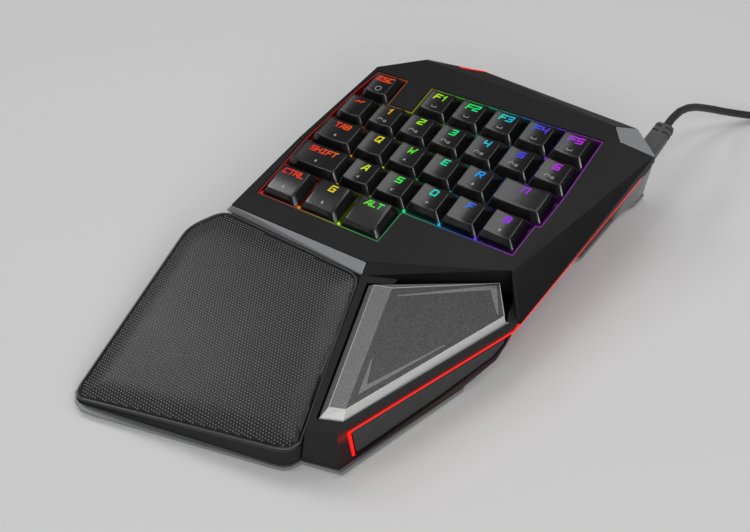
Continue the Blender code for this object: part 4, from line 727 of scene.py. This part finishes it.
keys = {
    "below": 0.0022, "top": 0.0032, "spacing": 0.0011, "sideTaper": 0.0026, "frontTaper": 0.0025,
    "backTaper": 0.0019, "dish": 0.0007, "slopedDrop": 0.0012, "wall": 0.0012, "roof": 0.0014, "stem": 0.0025,
    "stemCorner": 0.0006, "stemDepth": 0.0071, "stemTip": 0.0003, "tipCorner": 0.0001, "skirtEdge": 0.0002,
    "cornerLow": 0.0007, "cornerTop": 0.0006, "cornerLoss": 0.0003, "edge": 0.0004, "edgeSteps": 5,
    "topShares": (0.85, 0.65, 0.45, 0.25, 0.08), "extra": 0.09, "fall": 1.7, "skirtRow": 6, "slopedRow": -4,
    "rows": {
        0: (("escape", 0.22, 1.15, "ESC"), ("f1", 2.02, 3.0, "F1"), ("f2", 3.02, 4.01, "F2"),
            ("f3", 4.03, 5.01, "F3"), ("f4", 5.03, 6.0, "F4"), ("f5", 6.02, 7.0, "F5")),
        -1: (("accent", 0.03, 0.98, "~"), ("1", 1.02, 2.0, "1"), ("2", 2.02, 3.0, "2"), ("3", 3.02, 4.0, "3"),
             ("4", 4.02, 4.99, "4"), ("5", 5.01, 5.99, "5"), ("6", 6.01, 7.0, "6")),
        -2: (("tab", -0.05, 1.28, "TAB"), ("q", 1.31, 2.32, "Q"), ("w", 2.35, 3.36, "W"),
             ("e", 3.38, 4.38, "E"), ("r", 4.4, 5.39, "R"), ("wide", 5.42, 6.92, "N")),
        -3: (("shift", -0.14, 1.53, "SHIFT"), ("a", 1.56, 2.58, "A"), ("s", 2.61, 3.64, "S"),
             ("d", 3.66, 4.68, "D"), ("f", 4.7, 5.71, "F"), ("b", 5.73, 6.74, "B")),
        -4: (("ctrl", -0.13, 1.02, "CTRL"), ("g", 1.14, 2.31, "G"), ("alt", 2.42, 3.6, "ALT"))}}


class KeyShape:
    # One key's measures, and the height of its top at any place on it

    def __init__(self, left, right, row):
        pitch = plan["pitch"]
        sloped = row == keys["slopedRow"]
        front = (row - keys["extra"]) * pitch if sloped else row * pitch + keys["spacing"] / 2
        back = (row + 1) * pitch - keys["spacing"] / 2
        self.centre = np.array(((left + right) * pitch / 2, (front + back) / 2))
        self.half = np.array(((right - left) * pitch / 2, (back - front) / 2))
        self.drop = keys["slopedDrop"] if sloped else 0.0
        self.dish = 0.0 if sloped else keys["dish"]
        self.topHalf = np.array((self.half[0] - keys["sideTaper"],
                                 self.half[1] - (keys["frontTaper"] + keys["backTaper"]) / 2))
        self.topShift = (keys["frontTaper"] - keys["backTaper"]) / 2

    def face(self, x, y):
        # The top falls towards the front on a sloped key, and dips along the middle on the others
        back = self.topShift + self.topHalf[1]
        share = np.clip((back - y) / (2 * self.topHalf[1]), 0, None)
        return (keys["top"] - self.drop * share ** keys["fall"]
                - self.dish * (1 - np.minimum((x / self.topHalf[0]) ** 2, 1.0)))

    def place(self, x, y, z):
        return deckPlace(np.stack((self.centre[0] + x, self.centre[1] + y), -1), -z)


def chamferedLoop(sideSteps=5):
    # Unit places round a rectangle with cut corners: the corner box of each, and its direction from there
    spots = []
    corners = ((1, -1, -np.pi / 2), (1, 1, 0.0), (-1, 1, np.pi / 2), (-1, -1, np.pi))
    for number, (sx, sy, turn) in enumerate(corners):
        cosines, sines = np.cos((turn, turn + np.pi / 2)), np.sin((turn, turn + np.pi / 2))
        spots += [(sx, sy, cosines[0], sines[0]), (sx, sy, cosines[1], sines[1])]
        nx, ny, _ = corners[(number + 1) % 4]
        for share in np.arange(1, sideSteps) / sideSteps:
            spots.append((sx + (nx - sx) * share, sy + (ny - sy) * share, cosines[1], sines[1]))
    return np.array(spots).T


keyLoop = chamferedLoop()


def keyRings(shape):
    # A profile carried round the rectangle: half sizes, corner radius, shift, height and whether it follows
    # the top's face; it runs from the stem's tip through the hollow, over the skirt and the edge to the top
    half, top, shift = shape.half, shape.topHalf, shape.topShift
    edge, roof, stem = keys["edge"], keys["roof"], keys["stem"]
    below, depth = keys["below"], keys["stemDepth"]
    lowCorner, topCorner = keys["cornerLow"], keys["cornerTop"]
    taper = np.array((keys["sideTaper"], (keys["frontTaper"] + keys["backTaper"]) / 2))
    slope = taper / (below + keys["top"])
    profile = [(np.full(2, keys["stemTip"]), keys["tipCorner"], 0.0, -depth, False),
               (np.full(2, stem), keys["stemCorner"], 0.0, -depth, False),
               (np.full(2, stem), keys["stemCorner"], 0.0, -roof, True),
               (top - keys["wall"], topCorner, shift, -roof, True),
               (half - keys["wall"], lowCorner, 0.0, -below, False),
               (half - keys["skirtEdge"], lowCorner, 0.0, -below, False),
               (half, lowCorner, 0.0, -below + keys["skirtEdge"], False)]
    for t in np.linspace(0, 1, keys["edgeSteps"]):
        start = top + slope * edge
        size = (1 - t) ** 2 * start + 2 * t * (1 - t) * top + t * t * (top - edge)
        profile.append((size, topCorner - keys["cornerLoss"] * t, shift, -edge * (1 - t) ** 2, True))
    for share in keys["topShares"]:
        profile.append(((top - edge) * share, (topCorner - keys["cornerLoss"]) * share, shift, 0.0, True))
    rings = []
    sx, sy, cx, cy = keyLoop
    for size, radius, moved, height, follows in profile:
        x = sx * (size[0] - radius) + cx * radius
        y = sy * (size[1] - radius) + cy * radius + moved
        rings.append(shape.place(x, y, shape.face(x, y) + height if follows else height + 0 * x))
    return np.array(rings)


# Legends: each glyph is a few strokes on a grid of 4 by 6, with square corners
glyphs = {
    "A": (((0, 0), (1.8, 6), (3.2, 6), (4, 0)), ((1, 1.8), (3.6, 1.8))),
    "B": (((0, 0), (0, 6), (3, 6), (4, 5), (4, 4), (3, 3), (0, 3)), ((3, 3), (4, 2), (4, 0), (0, 0))),
    "C": (((4, 6), (0, 6), (0, 0), (4, 0)),),
    "D": (((0, 0), (0, 6), (3, 6), (4, 5), (4, 0), (0, 0)),),
    "E": (((4, 6), (0, 6), (0, 0), (4, 0)), ((0, 3), (3.4, 3))),
    "F": (((4, 6), (0, 6), (0, 0)), ((0, 3), (3.4, 3))),
    "G": (((4, 6), (0, 6), (0, 0), (4, 0), (4, 3), (2, 3)),),
    "H": (((0, 0), (0, 6)), ((4, 0), (4, 6)), ((0, 3), (4, 3))),
    "I": (((2, 0), (2, 6)), ((0.6, 6), (3.4, 6)), ((0.6, 0), (3.4, 0))),
    "L": (((0, 6), (0, 0), (4, 0)),),
    "N": (((0, 0), (0, 6), (4, 6), (4, 0)),),
    "Q": (((0, 0), (0, 6), (4, 6), (4, 0), (0, 0)), ((2.6, 1.6), (4.4, -0.8))),
    "R": (((0, 0), (0, 6), (4, 6), (4, 3), (0, 3)), ((2, 3), (4, 0))),
    "S": (((4, 6), (0, 6), (0, 3), (4, 3), (4, 0), (0, 0)),),
    "T": (((0, 6), (4, 6)), ((2, 6), (2, 0))),
    "W": (((0, 6), (0.4, 0), (2, 3.6), (3.2, 0), (4.4, 6)),),
    "1": (((0.8, 4.6), (2.2, 6), (2.2, 0)),),
    "2": (((0, 6), (4, 6), (4, 3.4), (0, 2.4), (0, 0), (4, 0)),),
    "3": (((0, 6), (4, 6), (4, 0), (0, 0)), ((1, 3), (4, 3))),
    "4": (((0, 6), (0, 3), (4, 3)), ((4, 6), (4, 0))),
    "5": (((4, 6), (0, 6), (0, 3), (4, 3), (4, 0), (0, 0)),),
    "6": (((4, 6), (0, 6), (0, 0), (4, 0), (4, 3), (0, 3)),),
    "~": (((-1.4, 1.8), (0.2, 3.6), (2.6, 2.4), (4.6, 4.4)),),
}
arrow = np.array(((-0.9, -0.7), (0, -0.2), (0.9, -0.7), (0, 1.1)))
circle = np.radians(np.arange(0, 361, 30))
marks = {
    "diamond": ("solid", ((0, -1), (0.7, 0), (0, 1), (-0.7, 0))),
    "up": ("solid", arrow),
    "down": ("solid", -arrow),
    "left": ("solid", arrow[:, ::-1] * (-1, 1)),
    "right": ("solid", arrow[:, ::-1] * (1, -1)),
    "ring": ("line", np.stack((np.cos(circle), np.sin(circle)), -1) * 1.5),
    "tray": ("line", ((-1.3, 0.3), (-1.1, -0.5), (1.1, -0.5), (1.3, 0.3))),
    "arc": ("line", ((-2.6, -0.4), (-2.3, 0.5), (-1.4, 0.9), (-0.6, 0.5), (-0.4, -0.2))),
    "box": ("line", ((0.6, -0.8), (1.8, -0.8), (1.8, 0.2), (0.6, 0.2), (0.6, -0.8))),
}
keyMarks = {"w": ("up",), "a": ("left",), "s": ("down",), "d": ("right",), "escape": ("ring",)}
keyMarks.update({name: ("diamond",) for name in ("tab", "shift", "ctrl", "g", "b", "r")})
keyMarks.update({name: ("tray",) for name in ("f1", "f2", "f3", "f4", "f5")})
keyMarks.update({name: ("arc", "box") for name in "123456"})
legend = {"height": 0.0033, "longShare": 0.86, "widthShare": 0.86, "gap": 0.36, "stroke": 0.22,
          "fromBack": 0.0018, "rise": 0.00004, "sink": 0.00015, "slant": 0.22, "markSize": 0.00106,
          "markStroke": 0.0004, "markFromFront": 0.0034}


def strokeOutline(line, width):
    # The line moved to both sides by half the width, mitred at its corners and cut square past its ends
    line = np.array(line, float)
    ahead = np.diff(line, axis=0)
    ahead /= np.linalg.norm(ahead, axis=1)[:, None]
    before = np.vstack((ahead[:1], ahead))
    after = np.vstack((ahead, ahead[-1:]))
    side = np.stack((-before[:, 1] - after[:, 1], before[:, 0] + after[:, 0]), -1)
    side /= np.linalg.norm(side, axis=1)[:, None]
    normal = np.stack((-after[:, 1], after[:, 0]), -1)
    reach = width / 2 / np.maximum((side * normal).sum(1), 0.5)
    if not np.allclose(line[0], line[-1]):
        line[0] -= ahead[0] * width / 2
        line[-1] += ahead[-1] * width / 2
    aside = side * reach[:, None]
    return np.vstack((line - aside, (line + aside)[::-1]))


def printFlat(outlines, shape, rise, sink):
    # Closed prisms over flat outlines, bent onto the shape's face: two rings, the sides between and the lids
    verts, faces, first = [], [], 0
    for outline in outlines:
        x, y = np.asarray(outline, float).T
        count = len(x)
        top = shape.face(x, y)
        verts += [shape.place(x, y, top - sink), shape.place(x, y, top + rise)]
        low = first + np.arange(count)
        faces += quadsBetween(low, low + count).tolist()
        k = np.arange(count // 2 - 1)[:, None]
        lid = first + np.hstack((k, k + 1, count - 2 - k, count - 1 - k))
        faces += np.stack((lid + count, lid[:, ::-1]), 1).reshape(-1, 4).tolist()
        first += 2 * count
    return np.vstack(verts), faces


def legendOutlines(text, shape, size):
    # Each letter's strokes scaled to the size, slanted, and placed in a centred row below the top's back edge
    width = size * legend["widthShare"]
    step = width * (1 + legend["gap"])
    startX = -(len(text) - 1) * step / 2 - width / 2
    baseY = shape.topShift + shape.topHalf[1] - legend["fromBack"] - size
    outlines = []
    for number, letter in enumerate(text):
        for line in glyphs[letter]:
            scaled = np.array(line, float) * (width / 4, size / 6)
            scaled = scaled + np.stack((scaled[:, 1] * legend["slant"], 0 * scaled[:, 1]), -1)
            scaled = scaled + (startX + number * step, baseY)
            outlines.append(strokeOutline(scaled, size * legend["stroke"]))
    return outlines


for row, cells in keys["rows"].items():
    for name, left, right, text in cells:
        shape = KeyShape(left, right, row)
        node = "key_" + name
        cap = addLoft("cap_" + name, keyRings(shape), "gloss", node, 40.0)
        face = np.arange(len(cap.data.polygons))
        # The cut corner faces of the skirt take the lighter grey: a painted highlight
        cap.data.materials.append(finishes["keyCornerHighlight"])
        around = len(keyLoop[0])
        highlightedCorner = (face % (around // 4) == 0) & (face // around == keys["skirtRow"])
        cap.data.polygons.foreach_set("material_index", highlightedCorner.astype(int))
        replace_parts(cap, node)
        size = legend["height"] * (legend["longShare"] if len(text) > 2 else 1.0)
        verts, faces = printFlat(legendOutlines(text, shape, size), shape, legend["rise"], legend["sink"])
        words = addPiece("legend_" + name, verts, faces, "legendGlow", node)
        outlines = []
        for mark in keyMarks.get(name, ()):
            kind, line = marks[mark]
            line = np.array(line) * legend["markSize"]
            line = line + (0.0, shape.topShift - shape.topHalf[1] + legend["markFromFront"])
            outlines.append(strokeOutline(line, legend["markStroke"]) if kind == "line" else line)
        if outlines:
            verts, faces = printFlat(outlines, shape, legend["rise"], legend["sink"])
            addPiece("mark_" + name, verts, faces, "grey", node)
print("stage: keys made")

# Small things on or in other faces: glowing lozenges at the keys' corners, which paint the glints of the key
# light there, the thumb plate's accents and the light slot of the back band
glints = {"outline": ((0, -0.0005), (0.0006, 0), (0, 0.0013), (-0.0006, 0)), "top": -0.0017, "depth": 0.0039,
         "aside": 0.03, "ahead": 0.03}
band = {"facets": (((0.047, 0.043, 0.03943), (-0.033, 0.322, 0.946)),
                   ((0.047, 0.045, 0.03857), (-0.103, 0.536, 0.838))),
        "slot": ((0.0418, 0.042), (0.046, 0.0434), (0.0505, 0.0453), (0.054, 0.0464)),
        "slotWidth": 0.0011, "rise": 0.00015, "sink": 0.0003}


class Face:
    # A face to print on: its height at a place, and where a place and a height are

    def __init__(self, face, place):
        self.face = face
        self.place = place


def bandHeight(x, y):
    # The lower of the back band's two planes, each with a point on it and its normal
    return np.minimum(*(point[2] - (normal[0] * (x - point[0]) + normal[1] * (y - point[1])) / normal[2]
                        for point, normal in band["facets"]))


glintTop = Face(lambda x, y: glints["top"] + 0 * x, lambda x, y, z: deckPlace(np.stack((x, y), -1), -z))
thumbTop = Face(lambda x, y: thumb["top"] + 0 * x, inPlan)
backBand = Face(bandHeight, lambda x, y, z: planOrigin + np.stack((x, y, z), -1))
spots = []
# One glowing lozenge left of each row's first key and between neighbouring keys, at their front: painted
# glints
for row, cells in keys["rows"].items():
    front = row - (keys["extra"] - glints["ahead"] if row == keys["slopedRow"] else 0)
    corners = [(cells[0][1] - glints["aside"], front)]
    corners += [((before[2] + after[1]) / 2, front) for before, after in zip(cells, cells[1:])]
    spots += [np.array(glints["outline"]) + np.array(corner) * plan["pitch"] for corner in corners]
addPiece("cornerGlints", *printFlat(spots, glintTop, 0.0, glints["depth"]), "spots")
accents = printFlat(thumb["accents"], thumbTop, thumb["accentRise"], thumb["accentSink"])
addPiece("thumbAccents", *accents, "thumbSide", "thumb_key")
slot = printFlat([strokeOutline(band["slot"], band["slotWidth"])], backBand, band["rise"], band["sink"])
addPiece("backSlot", *slot, "redGlow")
print("stage: printed details made")

# Table, light and world

stage = {"reach": 3.0, "colour": (0.8, 0.8, 0.8), "roughness": 0.7, "drop": 0.0001, "worldStrength": 0.13}
table = bpy.data.objects.new("table", bpy.data.meshes.new("table"))
tableCorners = np.array(((-1, -1, 0), (1, -1, 0), (1, 1, 0), (-1, 1, 0))) * stage["reach"]
table.data.from_pydata(tableCorners.tolist(), [], [(0, 1, 2, 3)])
table.data.materials.append(Finish("pale table", stage["colour"], stage["roughness"]).material)
scene.collection.objects.link(table)
table.location.z = -stage["drop"]

lamps = {
    "key": {"place": (-0.25, 0.38, 0.97), "size": (0.56, 0.48), "power": 2.1, "aim": (0, 0, 0)},
    "low": {"place": (-0.95, 0.11, 0.95), "size": (0.36, 0.28), "power": 1.9, "aim": (-0.05, -0.05, 0)},
    "right": {"place": (0.95, -0.35, 0.75), "size": (0.7, 0.7), "power": 3.0, "aim": (0, 0, 0)},
    "front": {"place": (0.1, -1.1, 0.9), "size": (0.9, 0.6), "power": 2.9, "aim": (0, 0, 0)},
    "corner": {"place": (0.8, -0.8, 0.46), "size": (0.42, 0.32), "power": 1.8, "aim": (0, 0, 0.03)},
    "left": {"place": (-0.62, -0.6, 0.85), "size": (0.42, 0.4), "power": 1.2, "aim": (0, 0, 0)},
    "back": {"place": (0.46, 0.5, 0.9), "size": (0.4, 0.4), "power": 1.4, "aim": (0, 0, 0)},
}
for name, lamp in lamps.items():
    light = bpy.data.lights.new(name, "AREA")
    light.shape = "RECTANGLE"
    light.size, light.size_y = lamp["size"]
    light.energy = lamp["power"]
    holder = bpy.data.objects.new("lamp_" + name, light)
    scene.collection.objects.link(holder)
    holder.location = lamp["place"]
    holder.rotation_euler = (Vector(lamp["aim"]) - Vector(lamp["place"])).to_track_quat("-Z", "Y").to_euler()
world = bpy.data.worlds.new("soft studio")
scene.world = world
world.use_nodes = True
background = world.node_tree.nodes["Background"]
background.inputs["Color"].default_value = (1.0, 1.0, 1.0, 1.0)
background.inputs["Strength"].default_value = stage["worldStrength"]
print("stage: table and lamps set")
